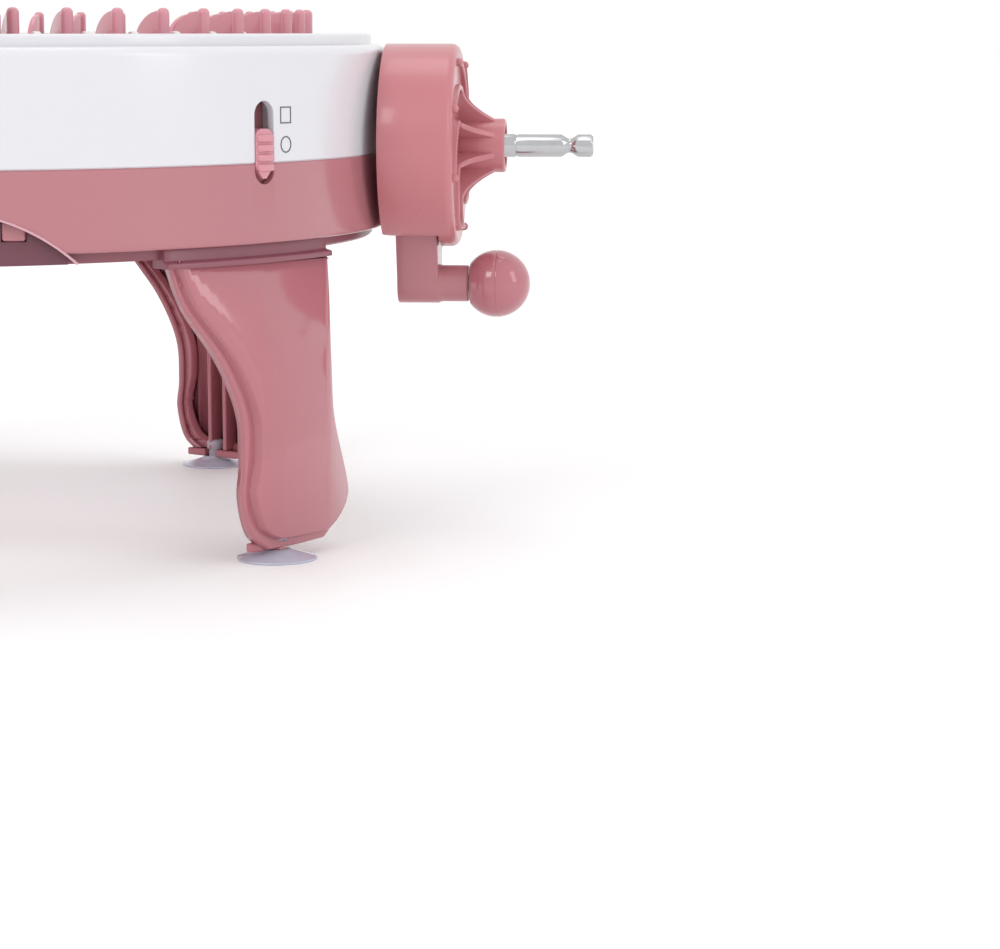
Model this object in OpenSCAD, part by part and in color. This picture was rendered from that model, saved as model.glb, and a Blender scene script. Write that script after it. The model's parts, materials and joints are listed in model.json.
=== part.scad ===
// Circular knitting machine: a drum on four curved legs, turned by a side crank
// that carries a drill adapter. The origin is on the drum's axis, at the height of
// the surface that the machine stands on. Front is -Y, and the crank points to +X.

/* [Casing] */
// Outer radius of the round casing
shell_r = 150; // [125:1:190]
// Thickness of the casing walls
wall = 2.4; // [1.8:0.2:3.2]
// Height of the lower casing
lower_h = 24; // [22:0.5:30]
// Height of the upper casing
upper_h = 34.7; // [33:0.1:42]
// Radius of the rounded top edge of the casing
edge_r = 3; // [1.5:0.5:5]
// Height of the pale collar on top
collar_h = 3.6; // [2:0.2:6]
// Width of the pale collar
collar_w = 15; // [11:0.5:18]
// Distance from the casing's outside to the collar
collar_inset = 5; // [3:0.5:8]

/* [Base and legs] */
// Height from the standing surface to the underside of the base
leg_h = 95; // [75:1:120]
// Thickness of the base plate
base_t = 3.3; // [2.5:0.1:5]
// Distance from the casing's outside to the base plate's edge
base_inset = 5; // [4:0.5:7]
// Width of a leg across its outline
leg_w = 84; // [66:1:96]
// Depth of the sockets that the legs plug into
socket_h = 5.3; // [4:0.1:7]
// Radius of a suction cup's rim
cup_r = 12.5; // [9:0.5:16]

/* [Needle cylinder] */
// Number of needles
needle_count = 48; // [40:2:54]
// Radial room between the needle cylinder and the casing wall
drum_room = 25.6; // [24:0.2:32]
// Radial thickness of the needle cylinder
drum_wall = 11; // [9:0.5:14]
// Height of the guide fins above the casing
fin_rise = 11.2; // [8:0.2:16]
// Thickness of a fin's outer edge
fin_w = 3.7; // [2.4:0.1:4.4]
// Width of the groove that a needle stands in
groove_w = 3; // [2.4:0.1:3.6]

/* [Crank and gears] */
// Direction of the crank, in degrees from +X
crank_az = -15; // [-20:1:5]
// Height of the crank shaft above the casing seam
crank_rise = 2.2; // [0:0.1:4]
// Radius of the crank shaft
shaft_r = 4; // [3:0.25:5]
// Teeth on the drive pinion
pinion_teeth = 14; // [13:1:15]
// Turns of the crank for one turn of the needle cylinder
gear_ratio = 10; // [10:1:12]
// Distance from the crank shaft to the knob's pin
throw = 45; // [44:0.5:60]
// Radius of the knob
knob_r = 11; // [9:0.25:11.5]

/* [Drill adapter] */
// Outer radius of the adapter's cap
cap_r = 32.8; // [28:0.1:33]
// Length of the adapter's hub
hub_l = 15; // [11:0.5:20]
// Width across the flats of the drill shank
hex_af = 6.35; // [6:0.05:7]
// Number of ribs on the adapter's face
rib_count = 8; // [6:1:10]

/* [Switch and counter] */
// Direction of the mode switch, in degrees from +X
switch_az = -49.3; // [-52:0.1:-46]
// Width of the switch slot
slot_w = 8.3; // [6:0.1:10]
// Travel of the mode switch
switch_travel = 7; // [4:0.5:9]
// Width of the arch in the casing's front
arch_w = 80; // [70:1:84]
// Height of the arch above the underside of the base
arch_h = 16; // [12:0.5:17]
// Height of the yarn guide above the collar
guide_h = 38; // [30:1:50]

/* [Hidden] */
$fn = 96;

rose = [0.74, 0.52, 0.55];
deep_rose = [0.66, 0.42, 0.46];
pearl = [0.93, 0.92, 0.94];
steel = [0.68, 0.68, 0.70];
lilac = [0.72, 0.63, 0.72];

eps = 0.01;        // overlap that keeps a cut clean
seat_gap = 0.3;    // clearance between moving neighbours
run_gap = 0.05;    // clearance of a running shaft
slip = 0.2;        // clearance of a loose fit

// Heights
lip_z = leg_h + base_t;
seam_z = lip_z + lower_h;
top_z = seam_z + upper_h;
collar_z = top_z + collar_h;
fin_z = top_z + fin_rise;
crank_z = seam_z + crank_rise;
flange_t = 2.2;
roof_z = top_z - flange_t;
floor_t = 2;

// Radii from the casing inwards
shell_in = shell_r - wall;
base_r = shell_r - base_inset;
collar_out = shell_r - collar_inset;
collar_in = collar_out - collar_w;
drum_out = shell_in - drum_room;
drum_in = drum_out - drum_wall;
groove_depth = 5;
fin_out = drum_out + 4;
guide_wall = 2;
guide_r = drum_in - 4;
opening_r = guide_r - guide_wall;
cam_bore = drum_out + 1;
cam_out = cam_bore + 8;
roof_in = fin_out + 2;
floor_in = shell_r - 14;

// Needle cylinder
track_h = 2.6;
drum_z = lip_z + track_h + seat_gap;
drum_flange_t = 3.4;
gear_out = drum_out + 10;
butt_out = drum_out + 4;
butt_z = roof_z - 12.3;
butt_h = 2.5;
stroke_out = butt_out + 0.5;
needle_w = groove_w - 2 * slip;
needle_out = drum_out - 0.7;
needle_in = drum_out - groove_depth + seat_gap;
needle_foot = drum_z + 7;
pitch_angle = 360 / needle_count;

// Gears: a crown ring under the pinion
crown_teeth = pinion_teeth * gear_ratio;
tooth_in = drum_out + 3.6;
tooth_out = gear_out - 0.1;
crown_r = (tooth_in + tooth_out) / 2;
pinion_r = crown_r / gear_ratio;
addendum = 1.4;
dedendum = 1.8;
crown_z = crank_z - pinion_r;
tip_half = 0.55;
root_half = 1.5;

// Stations along the crank's axis, measured from the drum's axis
pinion_end = tooth_out;
bracket_in = gear_out + 1;
bracket_out = bracket_in + 4;
bush_in = shell_r - 5.5;
bush_out = shell_r + 1.8;
bush_r = 7;
washer_t = 0.7;
arm_in = shell_r + 4.8;
arm_out = arm_in + 13.5;
cap_face = arm_out + 6.7;
cap_wall = 2.4;
cap_rim = shell_r + 1.3;
disc_r = cap_r - cap_wall - seat_gap;
pin_r = 2.5;
stub_r = 6;
knob_face = arm_out + 9.9;
knob_z = knob_face + 8.8;
pin_end = knob_z + 7.2;
hub_r = 8.75;
hub_end = cap_face + hub_l;

// Legs and feet
leg_out = shell_r - 1;
leg_skin = 3;
leg_rim = 3.5;
leg_top = lip_z - socket_h;
foot_z = 3.3;
shelf_t = 2.7;
foot_r = leg_out - 5.7;
leg_span = [-18.4, 9.2];    // the leg's top, in degrees from the leg's middle
tongue_out = leg_out - 2.6;
tongue_in = leg_out - 7.2;
tongue_z = lip_z - 1.5;
tongue_trim = 2.2;

// Counter
counter_y = -(shell_r - 10.6);
counter_z = lip_z + 6.9;
wheel_r = 4.4;
wheel_w = 7;
bezel_out = shell_r - 4;
bezel_t = 1.6;
counter_x = 39;
button_x = [19, 25.8];
button_z = [counter_z - 3.1, counter_z + 2.6];
button_y = sqrt(pow(shell_in - seat_gap, 2) - pow(button_x[1], 2));

// Yarn guide
guide_y = -(collar_in + 7);
guide_t = 4;
guide_half = 20;
lever_x = -6;
lever_z = collar_z + guide_h * 0.62;
lever_l = 26;

// Switch
switch_w = slot_w - 0.7;
slider_z = [seam_z - 4.7, seam_z + 10.3];
slider_round = 2.8;
slot_gap = 1.2;
slot_z = [slider_z[0] - 1.6, slider_z[1] + switch_travel + slot_gap];
plate_t = 2.2;
plate_w = slot_w + 3.7;
rail_w = 1.7;
rail_top = roof_z - 1.7;

screw_r = 1.35;
screw_ring = shell_r - 9.5;
screw_angles = [14, 75, 105, 166, 203, 248, 292, 333];

// ---- shared shapes ----
module ring(r_out, r_in, z0, z1) {
    translate([0, 0, z0]) difference() {
        cylinder(r = r_out, h = z1 - z0);
        translate([0, 0, -1]) cylinder(r = r_in, h = z1 - z0 + 2);
    }
}

module sector(r_out, r_in, z0, z1, a0, a1) {
    rotate([0, 0, a0]) rotate_extrude(angle = a1 - a0)
        translate([r_in, z0]) square([r_out - r_in, z1 - z0]);
}

// Children drawn with z along the crank's axis and x pointing down
module on_crank() {
    translate([0, 0, crank_z]) rotate([0, 0, crank_az]) rotate([0, 90, 0]) children();
}

// Children drawn with x pointing outwards at the switch
module at_switch() {
    rotate([0, 0, switch_az]) children();
}

// An outline drawn across (y) and up (z), pushed along x
module outward(x0, x1) {
    translate([x0, 0, 0]) rotate([90, 0, 90]) linear_extrude(x1 - x0) children();
}

// An outline drawn outwards (x) and up (z), centred on y
module upright(t) {
    translate([0, t / 2, 0]) rotate([90, 0, 0]) linear_extrude(t) children();
}

function arc(cx, cy, rx, ry, a0, a1, n) =
    [for (i = [0 : n]) let (a = a0 + (a1 - a0) * i / n) [cx + rx * cos(a), cy + ry * sin(a)]];

// A smooth line through control points
function spline_at(p, i, t) =
    let (last = len(p) - 1, a = p[max(i - 1, 0)], b = p[i], c = p[i + 1], d = p[min(i + 2, last)])
    0.5 * (2 * b + (c - a) * t + (2 * a - 5 * b + 4 * c - d) * t * t
        + (3 * b - a - 3 * c + d) * t * t * t);
function spline(p, n) =
    concat([for (i = [0 : len(p) - 2], k = [0 : n - 1]) spline_at(p, i, k / n)], [p[len(p) - 1]]);

// ---- casing ----
module arch_cut() {
    rise_r = (arch_w * arch_w / 4 + arch_h * arch_h) / (2 * arch_h);
    translate([0, -shell_r + 8, leg_h + arch_h - rise_r]) rotate([90, 0, 0])
        cylinder(r = rise_r, h = 20);
}

module slot_cut() {
    at_switch() translate([shell_r - 9, 0, 0]) rotate([0, 90, 0]) {
        translate([-slot_z[0] - slot_w / 2, 0, 0]) cylinder(d = slot_w, h = 20);
        translate([-slot_z[1] + slot_w / 2, 0, 0]) cylinder(d = slot_w, h = 20);
        translate([-slot_z[1] + slot_w / 2, -slot_w / 2, 0])
            cube([slot_z[1] - slot_z[0] - slot_w, slot_w, 20]);
    }
}

module bush_cut() {
    on_crank() translate([0, 0, bush_in - 5]) cylinder(r = bush_r + slip / 2, h = 20);
}

module at_screws() {
    for (a = screw_angles) rotate([0, 0, a]) translate([screw_ring, 0, 0]) children();
}

module upper_shell() {
    color(pearl) difference() {
        union() {
            rotate_extrude() polygon(concat(
                [[shell_in, seam_z], [shell_r - 0.4, seam_z], [shell_r, seam_z + 0.4]],
                arc(shell_r - edge_r, top_z - edge_r, edge_r, edge_r, 0, 90, 6),
                [[roof_in, top_z], [roof_in, roof_z], [shell_in - 1.5, roof_z],
                 [shell_in, roof_z - 1.5]]));
            at_screws() translate([0, 0, lip_z + floor_t])
                cylinder(r = 4, h = roof_z - lip_z - floor_t + eps);
        }
        at_screws() translate([0, 0, lip_z]) cylinder(r = screw_r + run_gap, h = 24, $fn = 32);
        slot_cut();
        bush_cut();
    }
}

module lower_shell() {
    color(rose) difference() {
        rotate_extrude() polygon([[floor_in, lip_z], [shell_r - 1, lip_z], [shell_r, lip_z + 1],
            [shell_r, seam_z - 0.4], [shell_r - 0.4, seam_z], [shell_in, seam_z],
            [shell_in, lip_z + floor_t], [floor_in, lip_z + floor_t]]);
        at_screws() translate([0, 0, lip_z - 1]) cylinder(r = screw_r + 0.4, h = 5, $fn = 32);
        arch_cut();
        slot_cut();
        bush_cut();
    }
}

module top_collar() {
    color(pearl) rotate_extrude() polygon(concat([[collar_in, top_z], [collar_out, top_z]],
        arc(collar_out - 0.8, collar_z - 0.8, 0.8, 0.8, 0, 90, 3),
        arc(collar_in + 0.8, collar_z - 0.8, 0.8, 0.8, 90, 180, 3)));
}

module leg_sockets() {
    for (k = [0 : 3]) quadrant(k)
        sector(shell_r - 0.4, leg_out - 10, leg_top, lip_z, leg_span[0] - 46, leg_span[1] - 44);
}

module socket_cuts() {
    for (k = [0 : 3]) quadrant(k)
        sector(tongue_out + slip, tongue_in - slip, leg_top - 1, tongue_z + slip,
            leg_span[0] - 45 + tongue_trim - 0.3, leg_span[1] - 45 - tongue_trim + 0.3);
}

// The front right quarter is drawn; the other three are its mirror images
module quadrant(k) {
    mirror([k % 2, 0, 0]) mirror([0, floor(k / 2), 0]) children();
}

module base_plate() {
    color(deep_rose) difference() {
        union() {
            ring(base_r, opening_r, leg_h, lip_z);
            ring(guide_r, opening_r, leg_h, drum_z + 10);
            ring(drum_in + 6, drum_in + 2, lip_z - eps, lip_z + track_h);
            leg_sockets();
        }
        socket_cuts();
        at_screws() translate([0, 0, leg_h - 1]) cylinder(r = screw_r + 0.4, h = 6, $fn = 32);
        at_screws() translate([0, 0, leg_h - 1]) cylinder(r = 3.2, h = 3, $fn = 32);
        arch_cut();
    }
}

module shell_screws() {
    color(steel) at_screws() difference() {
        translate([0, 0, leg_h + 0.2]) union() {
            cylinder(r = 3, h = 1.8, $fn = 32);
            cylinder(r = screw_r, h = 22, $fn = 32);
        }
        translate([-2, -0.4, leg_h - 0.5]) cube([4, 0.8, 1.4]);
        translate([-0.4, -2, leg_h - 0.5]) cube([0.8, 4, 1.4]);
    }
}

// ---- cams ----
module cam_ring() {
    color(pearl) difference() {
        ring(cam_out, cam_bore, roof_z - 14.8, roof_z);
        ring(butt_out + 0.8, cam_bore - 1, butt_z - 0.7, butt_z + butt_h + 0.7);
        sector(stroke_out, cam_bore - 1, butt_z + 1, roof_z - 1.3, -125, -55);
    }
}

module raising_cam() {
    color(deep_rose) sector(stroke_out, cam_bore + seat_gap, butt_z + butt_h + 1.8, roof_z - 1.3,
        -112, -68);
}

// ---- crank bearings ----
module bearing_bracket() {
    color(pearl) on_crank() difference() {
        translate([crank_z - roof_z, -9, bracket_in])
            cube([roof_z - crank_z + 10, 18, bracket_out - bracket_in]);
        translate([0, 0, bracket_in - 1]) cylinder(r = shaft_r + run_gap, h = 8);
    }
}

module crank_bushing() {
    color(pearl) on_crank() difference() {
        union() {
            translate([0, 0, bush_in]) cylinder(r = bush_r, h = bush_out - bush_in);
            translate([0, 0, shell_r + 0.1]) cylinder(r = bush_r + 2.5, h = 1.7);
        }
        translate([0, 0, bush_in - 1]) cylinder(r = shaft_r + run_gap, h = 12);
    }
}

// ---- row counter ----
module counter_housing() {
    z0 = lip_z + floor_t;
    z1 = counter_z + 7.4;
    color(deep_rose) intersection() {
        cylinder(r = bezel_out - bezel_t - run_gap, h = fin_z);
        union() {
            difference() {
                translate([-counter_x, counter_y - 8, z0])
                    cube([2 * counter_x, 14, z1 - z0]);
                translate([-counter_x + 1.5, counter_y - 10, z0 - 1])
                    cube([2 * counter_x - 3, 14.5, z1 - z0 - 0.5]);
            }
            for (s = [-1, 1]) difference() {
                translate([s * 14.5 - 0.75, counter_y - 4, z0]) cube([1.5, 9, z1 - z0]);
                translate([s * 14.5, counter_y, counter_z]) rotate([0, 90, 0])
                    cylinder(r = 1 + run_gap, h = 6, center = true);
            }
        }
    }
}

module counter_bezel() {
    color(deep_rose) difference() {
        sector(bezel_out, bezel_out - bezel_t, lip_z + floor_t, counter_z + 7.4, -105, -75);
        translate([-14, -shell_r, counter_z - 2.4]) cube([28, 14, 4.8]);
        translate([button_x[0] - slip, -shell_r, button_z[0] - slip])
            cube([button_x[1] - button_x[0] + 2 * slip, 14, button_z[1] - button_z[0] + 2 * slip]);
    }
}

module counter_shaft() {
    color(steel) translate([0, counter_y, counter_z]) rotate([0, 90, 0])
        cylinder(r = 1, h = 34, center = true);
}

// A digit wheel with a row of ten shallow dents on its rim
module digit_wheel(x) {
    color(pearl) translate([x, counter_y, counter_z]) rotate([0, 90, 0]) difference() {
        cylinder(r = wheel_r, h = wheel_w, center = true);
        cylinder(r = 1 + run_gap, h = wheel_w + 2, center = true);
        for (k = [0 : 9]) rotate([0, 0, 36 * k + 18]) translate([wheel_r + 0.4, 0, 0])
            cylinder(r = 0.7, h = wheel_w + 2, center = true, $fn = 24);
    }
}

module units_wheel() { digit_wheel(wheel_w + 1); }
module tens_wheel() { digit_wheel(0); }
module hundreds_wheel() { digit_wheel(-wheel_w - 1); }

module reset_button() {
    color(rose) translate([button_x[0], -button_y, button_z[0]])
        cube([button_x[1] - button_x[0], 8, button_z[1] - button_z[0]]);
}

// ---- yarn guide ----
module yarn_guide() {
    top = collar_z + guide_h;
    neck = guide_half * 0.42;
    color(rose) difference() {
        union() {
            translate([0, guide_y, 0]) rotate([90, 0, 0]) translate([0, 0, -guide_t / 2])
                linear_extrude(guide_t) polygon(concat([[guide_half, collar_z]],
                    arc(0, top - neck, neck, neck, 0, 180, 12), [[-guide_half, collar_z]]));
            intersection() {
                sector(collar_out - 1, collar_in + 1, collar_z, collar_z + 2.4, -99, -81);
                translate([-guide_half, -shell_r, collar_z]) cube([2 * guide_half, 60, 4]);
            }
            translate([3, guide_y, collar_z + 12.5]) cube([7, collar_w / 2 + 8, 3]);
        }
        translate([0, guide_y, top - neck]) rotate([90, 0, 0]) cylinder(r = 2.4, h = 12, center = true);
        translate([9.5, guide_y, collar_z + guide_h / 2]) rotate([90, 0, 0])
            cylinder(r = 2, h = 12, center = true);
        translate([6.5, -drum_out - 1.5, collar_z + 11]) cylinder(r = 1.4, h = 8, $fn = 48);
        translate([lever_x, guide_y, lever_z]) rotate([90, 0, 0])
            cylinder(r = 1.5 + run_gap, h = 12, center = true, $fn = 48);
    }
}

module yarn_lever() {
    color(pearl) translate([lever_x, guide_y - guide_t / 2 - seat_gap, lever_z]) rotate([90, 0, 0])
        difference() {
            linear_extrude(3) union() {
                circle(r = 4.2);
                translate([0, -2]) square([lever_l, 4]);
                translate([lever_l, 0]) circle(r = 4);
            }
            translate([0, 0, -1]) cylinder(r = 1.5 + run_gap, h = 6, $fn = 48);
            translate([lever_l, 0, -1]) cylinder(r = 1.8, h = 6, $fn = 48);
        }
}

module yarn_lever_pin() {
    color(steel) translate([lever_x, guide_y + guide_t / 2 + 1, lever_z]) rotate([90, 0, 0]) {
        cylinder(r = 1.5, h = guide_t + 6.2, $fn = 48);
        translate([0, 0, guide_t + 4.6]) cylinder(r = 3, h = 1.4, $fn = 48);
        cylinder(r = 2.6, h = 0.9, $fn = 48);
    }
}

// ---- mode switch ----
module switch_rails() {
    color(pearl) at_switch() intersection() {
        union() {
            for (s = [-1, 1]) translate([shell_in - 6, s * (plate_w / 2 + slip + rail_w / 2) - rail_w / 2,
                seam_z + 0.5]) cube([8, rail_w, rail_top - seam_z - 0.5]);
            translate([shell_in - 6, -plate_w / 2 - slip - rail_w, rail_top - 3])
                cube([2, plate_w + 2 * (slip + rail_w), 3]);
        }
        rotate([0, 0, -switch_az]) cylinder(r = shell_in - 0.05, h = roof_z);
    }
}

module switch_slider() {
    mid = (slider_z[0] + slider_z[1]) / 2;
    half = (slider_z[1] - slider_z[0]) / 2;
    color(rose) at_switch() union() {
        outward(shell_in - plate_t - 1.2, shell_in - 1.2)
            translate([-plate_w / 2, slider_z[0] - 6]) square([plate_w, slider_z[1] - slider_z[0] + 9]);
        outward(shell_in - 1.8, shell_r + 0.4) polygon(concat(
            arc(switch_w / 2 - slider_round, mid + half - slider_round, slider_round, slider_round, 0, 90, 6),
            arc(slider_round - switch_w / 2, mid + half - slider_round, slider_round, slider_round, 90, 180, 6),
            [[-switch_w / 2, mid - half + 2.6], [-1, mid - half], [1, mid - half],
             [switch_w / 2, mid - half + 2.6]]));
        for (k = [0 : 3]) translate([shell_r + 0.2, 0, mid - half + 3.3 + k * 2.9]) rotate([90, 0, 0])
            cylinder(r = 1, h = switch_w - 0.2, center = true, $fn = 32);
    }
}

// The two positions of the switch: a square above, a ring below
module mode_marks() {
    color(pearl) rotate([0, 0, switch_az + 3.7]) intersection() {
        rotate([0, 0, -switch_az - 3.7]) ring(shell_r + 0.3, shell_r + 0.02, seam_z, top_z - edge_r);
        union() {
            translate([shell_r - 3, -2.5, seam_z + 11.6]) difference() {
                cube([6, 5, 5]);
                translate([-1, 1, 1]) cube([8, 3, 3]);
            }
            translate([shell_r - 3, 0, seam_z + 5.3]) rotate([0, 90, 0]) difference() {
                cylinder(r = 2.5, h = 6);
                translate([0, 0, -1]) cylinder(r = 1.5, h = 8);
            }
        }
    }
}

// ---- legs ----
// Outlines in shares of the leg's width, across, and of its height, up
leg_outline = concat(
    spline([[-0.565, 1], [-0.49, 0.84], [-0.33, 0.66], [-0.235, 0.49], [-0.225, 0.33],
        [-0.234, 0.22], [-0.19, 0.1], [-0.09, 0.04]], 5),
    spline([[0.28, 0.035], [0.355, 0.07], [0.425, 0.13], [0.43, 0.21], [0.325, 0.43],
        [0.303, 0.6], [0.285, 0.88], [0.262, 1]], 5));
panel_outline = concat(
    spline([[-0.525, 1], [-0.45, 0.86], [-0.27, 0.7], [-0.165, 0.51], [-0.155, 0.4],
        [-0.18, 0.25], [-0.125, 0.12], [-0.05, 0.075]], 5),
    spline([[0.25, 0.075], [0.33, 0.11], [0.385, 0.17], [0.395, 0.22], [0.3, 0.43],
        [0.285, 0.6], [0.268, 0.88], [0.245, 1]], 5));

function scaled(shape, w, h) = [for (p = shape) [p[0] * w, p[1] * h]];

module leg() {
    skin = leg_out - leg_skin;
    rim = skin - leg_rim;
    color(rose) rotate([0, 0, -45]) difference() {
        union() {
            intersection() {
                rotate([0, 0, 45]) ring(skin + eps, rim, foot_z, leg_top);
                outward(leg_out - 60, leg_out + 20) polygon(scaled(leg_outline, leg_w, leg_h));
            }
            intersection() {
                rotate([0, 0, 45]) ring(leg_out, skin - 0.5, foot_z + 1.5, leg_top);
                outward(leg_out - 60, leg_out + 20) polygon(scaled(panel_outline, leg_w, leg_h));
            }
            for (y = [0, 7, 14]) translate([rim - 4.5, y - 0.8, foot_z + shelf_t - eps])
                cube([6, 1.6, leg_h * 0.72]);
            translate([rim - 5, -10, foot_z]) cube([leg_rim + 6, 30, shelf_t]);
            sector(tongue_out, tongue_in, leg_top - 12, tongue_z,
                leg_span[0] + tongue_trim, leg_span[1] - tongue_trim);
        }
        // the hollow behind the panel, between the ribs
        for (y = [-12, 0.8, 7.8]) translate([rim - 1, y, foot_z + shelf_t])
            cube([leg_rim + 2, y < 0 ? 11.2 : 5.4, leg_h * 0.5]);
        translate([foot_r, 0, 0]) cylinder(r = 2.5 + slip, h = 12, $fn = 48);
        translate([rim - 8, -2.5 - slip, 0]) cube([foot_r - rim + 8, 5 + 2 * slip, 8]);
        translate([foot_r, 0, foot_z + shelf_t]) cylinder(r = 3.6, h = 5, $fn = 48);
    }
}

module leg_front_right() { quadrant(0) leg(); }
module leg_front_left() { quadrant(1) leg(); }
module leg_rear_right() { quadrant(2) leg(); }
module leg_rear_left() { quadrant(3) leg(); }

module suction_cups() {
    head = foot_z + shelf_t + slip / 2;
    color(lilac) for (k = [0 : 3]) quadrant(k) rotate([0, 0, -45]) translate([foot_r, 0, 0])
        rotate_extrude() polygon([[cup_r - 1.5, 0], [cup_r, 0], [cup_r, 0.7], [cup_r * 0.6, 2.3],
            [4.2, foot_z - slip / 2], [2.5, foot_z - slip / 2], [2.5, head], [3.4, head],
            [3.2, head + 2.6], [1.8, head + 3.6], [0, head + 3.6], [0, 1.4], [cup_r * 0.55, 1]]);
}

// ---- needle cylinder ----
module at_needle(k) {
    rotate([0, 0, -90 + pitch_angle * k]) children();
}

module fin() {
    web = 2.2;
    reach = fin_out - drum_in - 3;
    upright(web) polygon(concat([[drum_in, roof_z], [drum_in, roof_z + 1.5]],
        arc(drum_in + reach, roof_z + 1.5, reach, fin_z - roof_z - 1.5, 180, 90, 8),
        [[fin_out - 1, fin_z], [fin_out - 1, roof_z + 1], [drum_out - 1, roof_z]]));
    upright(fin_w) polygon([[fin_out - 3.4, roof_z + 1], [fin_out - 0.4, roof_z + 1],
        [fin_out, roof_z + 1.4], [fin_out, fin_z - 1], [fin_out - 1, fin_z], [fin_out - 3.4, fin_z]]);
}

module needle_cylinder() {
    wall_top = roof_z + 0.4;
    color(rose) union() {
        difference() {
            union() {
                ring(drum_out, drum_in, drum_z, wall_top);
                ring(gear_out, drum_out - 1, drum_z, drum_z + drum_flange_t);
                ring(drum_in + 1, guide_r + run_gap * 6, drum_z, drum_z + 9);
            }
            for (k = [0 : needle_count - 1]) at_needle(k)
                translate([drum_out - groove_depth, -groove_w / 2, needle_foot - 0.5])
                    cube([groove_depth + 3, groove_w, wall_top - needle_foot + 1]);
        }
        for (k = [0 : needle_count - 1]) at_needle(k + 0.5) fin();
    }
}

module ring_gear() {
    root_z = crown_z - dedendum;
    color(pearl) union() {
        ring(gear_out, drum_out + run_gap, drum_z + drum_flange_t, root_z);
        for (k = [0 : crown_teeth - 1]) rotate([0, 0, crank_az + (k + 0.5) * 360 / crown_teeth])
            outward(tooth_in, tooth_out) polygon([[root_half, root_z - 0.3],
                [tip_half, crown_z + addendum], [-tip_half, crown_z + addendum],
                [-root_half, root_z - 0.3]]);
    }
}

module needle_retainer() {
    color(pearl) ring(drum_out + 1.4, drum_out + run_gap, drum_z + 27, drum_z + 31);
}

// A flat moulded needle: stem, butt for the cam track, and an open hook that faces outwards
module needle() {
    neck_in = needle_in + 0.4;
    neck_out = needle_in + 1.6;
    bend = needle_in + 2.6;
    hook_z = roof_z + 3.2;
    upright(needle_w) polygon(concat(
        [[needle_in, needle_foot], [needle_out, needle_foot], [needle_out, butt_z],
         [butt_out, butt_z + 0.3], [butt_out, butt_z + butt_h - 0.3], [needle_out, butt_z + butt_h],
         [needle_out, roof_z - 6], [neck_out, roof_z - 4]],
        arc(bend, hook_z, bend - neck_out, bend - neck_out, 180, 0, 6),
        [[bend + 1, hook_z - 1.6], [bend + 2.2, hook_z - 1.6]],
        arc(bend, hook_z, bend - neck_in, bend - neck_in, 0, 180, 8),
        [[neck_in, roof_z - 5], [needle_in, roof_z - 6]]));
}

module needles() {
    color(pearl) for (k = [1 : needle_count - 1]) at_needle(k) needle();
}

module marker_needle() {
    color([0.15, 0.15, 0.16]) at_needle(0) needle();
}

// ---- crank ----
module crank_shaft() {
    color(steel) on_crank() difference() {
        translate([0, 0, tooth_in - 0.8]) cylinder(r = shaft_r, h = arm_out - tooth_in + 0.5);
        translate([0, 0, tooth_in - 0.4]) ring(shaft_r + 1, shaft_r - 0.6, 0, 0.4);
    }
}

module shaft_clip() {
    color(steel) on_crank() translate([0, 0, tooth_in - 0.4 + run_gap / 2]) difference() {
        cylinder(r = shaft_r + 1.6, h = 0.35);
        translate([0, 0, -1]) cylinder(r = shaft_r - 0.5, h = 3);
        translate([0, -1.5, -1]) cube([12, 3, 3]);
    }
}

module drive_pinion() {
    root = pinion_r - dedendum;
    tip = pinion_r + addendum;
    color(pearl) on_crank() translate([0, 0, tooth_in + run_gap]) difference() {
        linear_extrude(pinion_end - tooth_in) polygon([for (k = [0 : pinion_teeth - 1],
            p = [[root, -root_half], [tip, -tip_half], [tip, tip_half], [root, root_half]])
            let (a = k * 360 / pinion_teeth)
            [p[0] * cos(a) - p[1] * sin(a), p[0] * sin(a) + p[1] * cos(a)]]);
        translate([0, 0, -1]) cylinder(r = shaft_r + run_gap / 2, h = 20);
    }
}

module crank_washer() {
    color(steel) on_crank() ring(shaft_r + 4, shaft_r + run_gap, bush_out + run_gap,
        bush_out + washer_t);
}

// The arm's plan: a round hub, a tapering arm and a round end, all drawn `inset` smaller
module arm_plan(inset) {
    circle(r = disc_r - inset);
    polygon([[0, -12 + inset], [throw, -6.5 + inset], [throw, 6.5 - inset], [0, 12 - inset]]);
    translate([throw, 0]) circle(r = 6.5 - inset);
}

module crank_arm() {
    color(rose) on_crank() difference() {
        union() {
            difference() {
                translate([0, 0, arm_in]) linear_extrude(arm_out - arm_in) arm_plan(0);
                translate([0, 0, arm_in - 1]) linear_extrude(arm_out - arm_in - 1.4) arm_plan(2.2);
            }
            translate([0, 0, bush_out + washer_t + run_gap])
                cylinder(r = 8, h = arm_out - bush_out - washer_t - run_gap);
            translate([throw, 0, arm_in + 5]) cylinder(r = 5, h = arm_out - arm_in - 6);
            translate([throw, 0, arm_out - 0.5]) cylinder(r = stub_r, h = knob_face - arm_out + 0.2);
        }
        translate([0, 0, bush_in]) cylinder(r = shaft_r + run_gap / 2, h = arm_out - bush_in - 0.2);
        translate([throw, 0, arm_in + 4]) cylinder(r = pin_r + run_gap / 2, h = 40);
    }
}

module knob_pin() {
    color(steel) on_crank() translate([throw, 0, arm_in + 4.2])
        cylinder(r = pin_r, h = pin_end - arm_in - 4.2);
}

module knob() {
    color(rose) on_crank() translate([throw, 0, 0]) difference() {
        translate([0, 0, knob_z]) sphere(r = knob_r);
        translate([0, 0, knob_face - 20]) cylinder(r = knob_r + 2, h = 20);
        translate([0, 0, knob_face - 1]) cylinder(r = pin_r + run_gap, h = pin_end - knob_face + 1.2);
        translate([0, 0, knob_z]) difference() {
            cylinder(r = knob_r + 1, h = 0.3, center = true);
            cylinder(r = knob_r - 0.3, h = 1, center = true);
        }
    }
}

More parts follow.
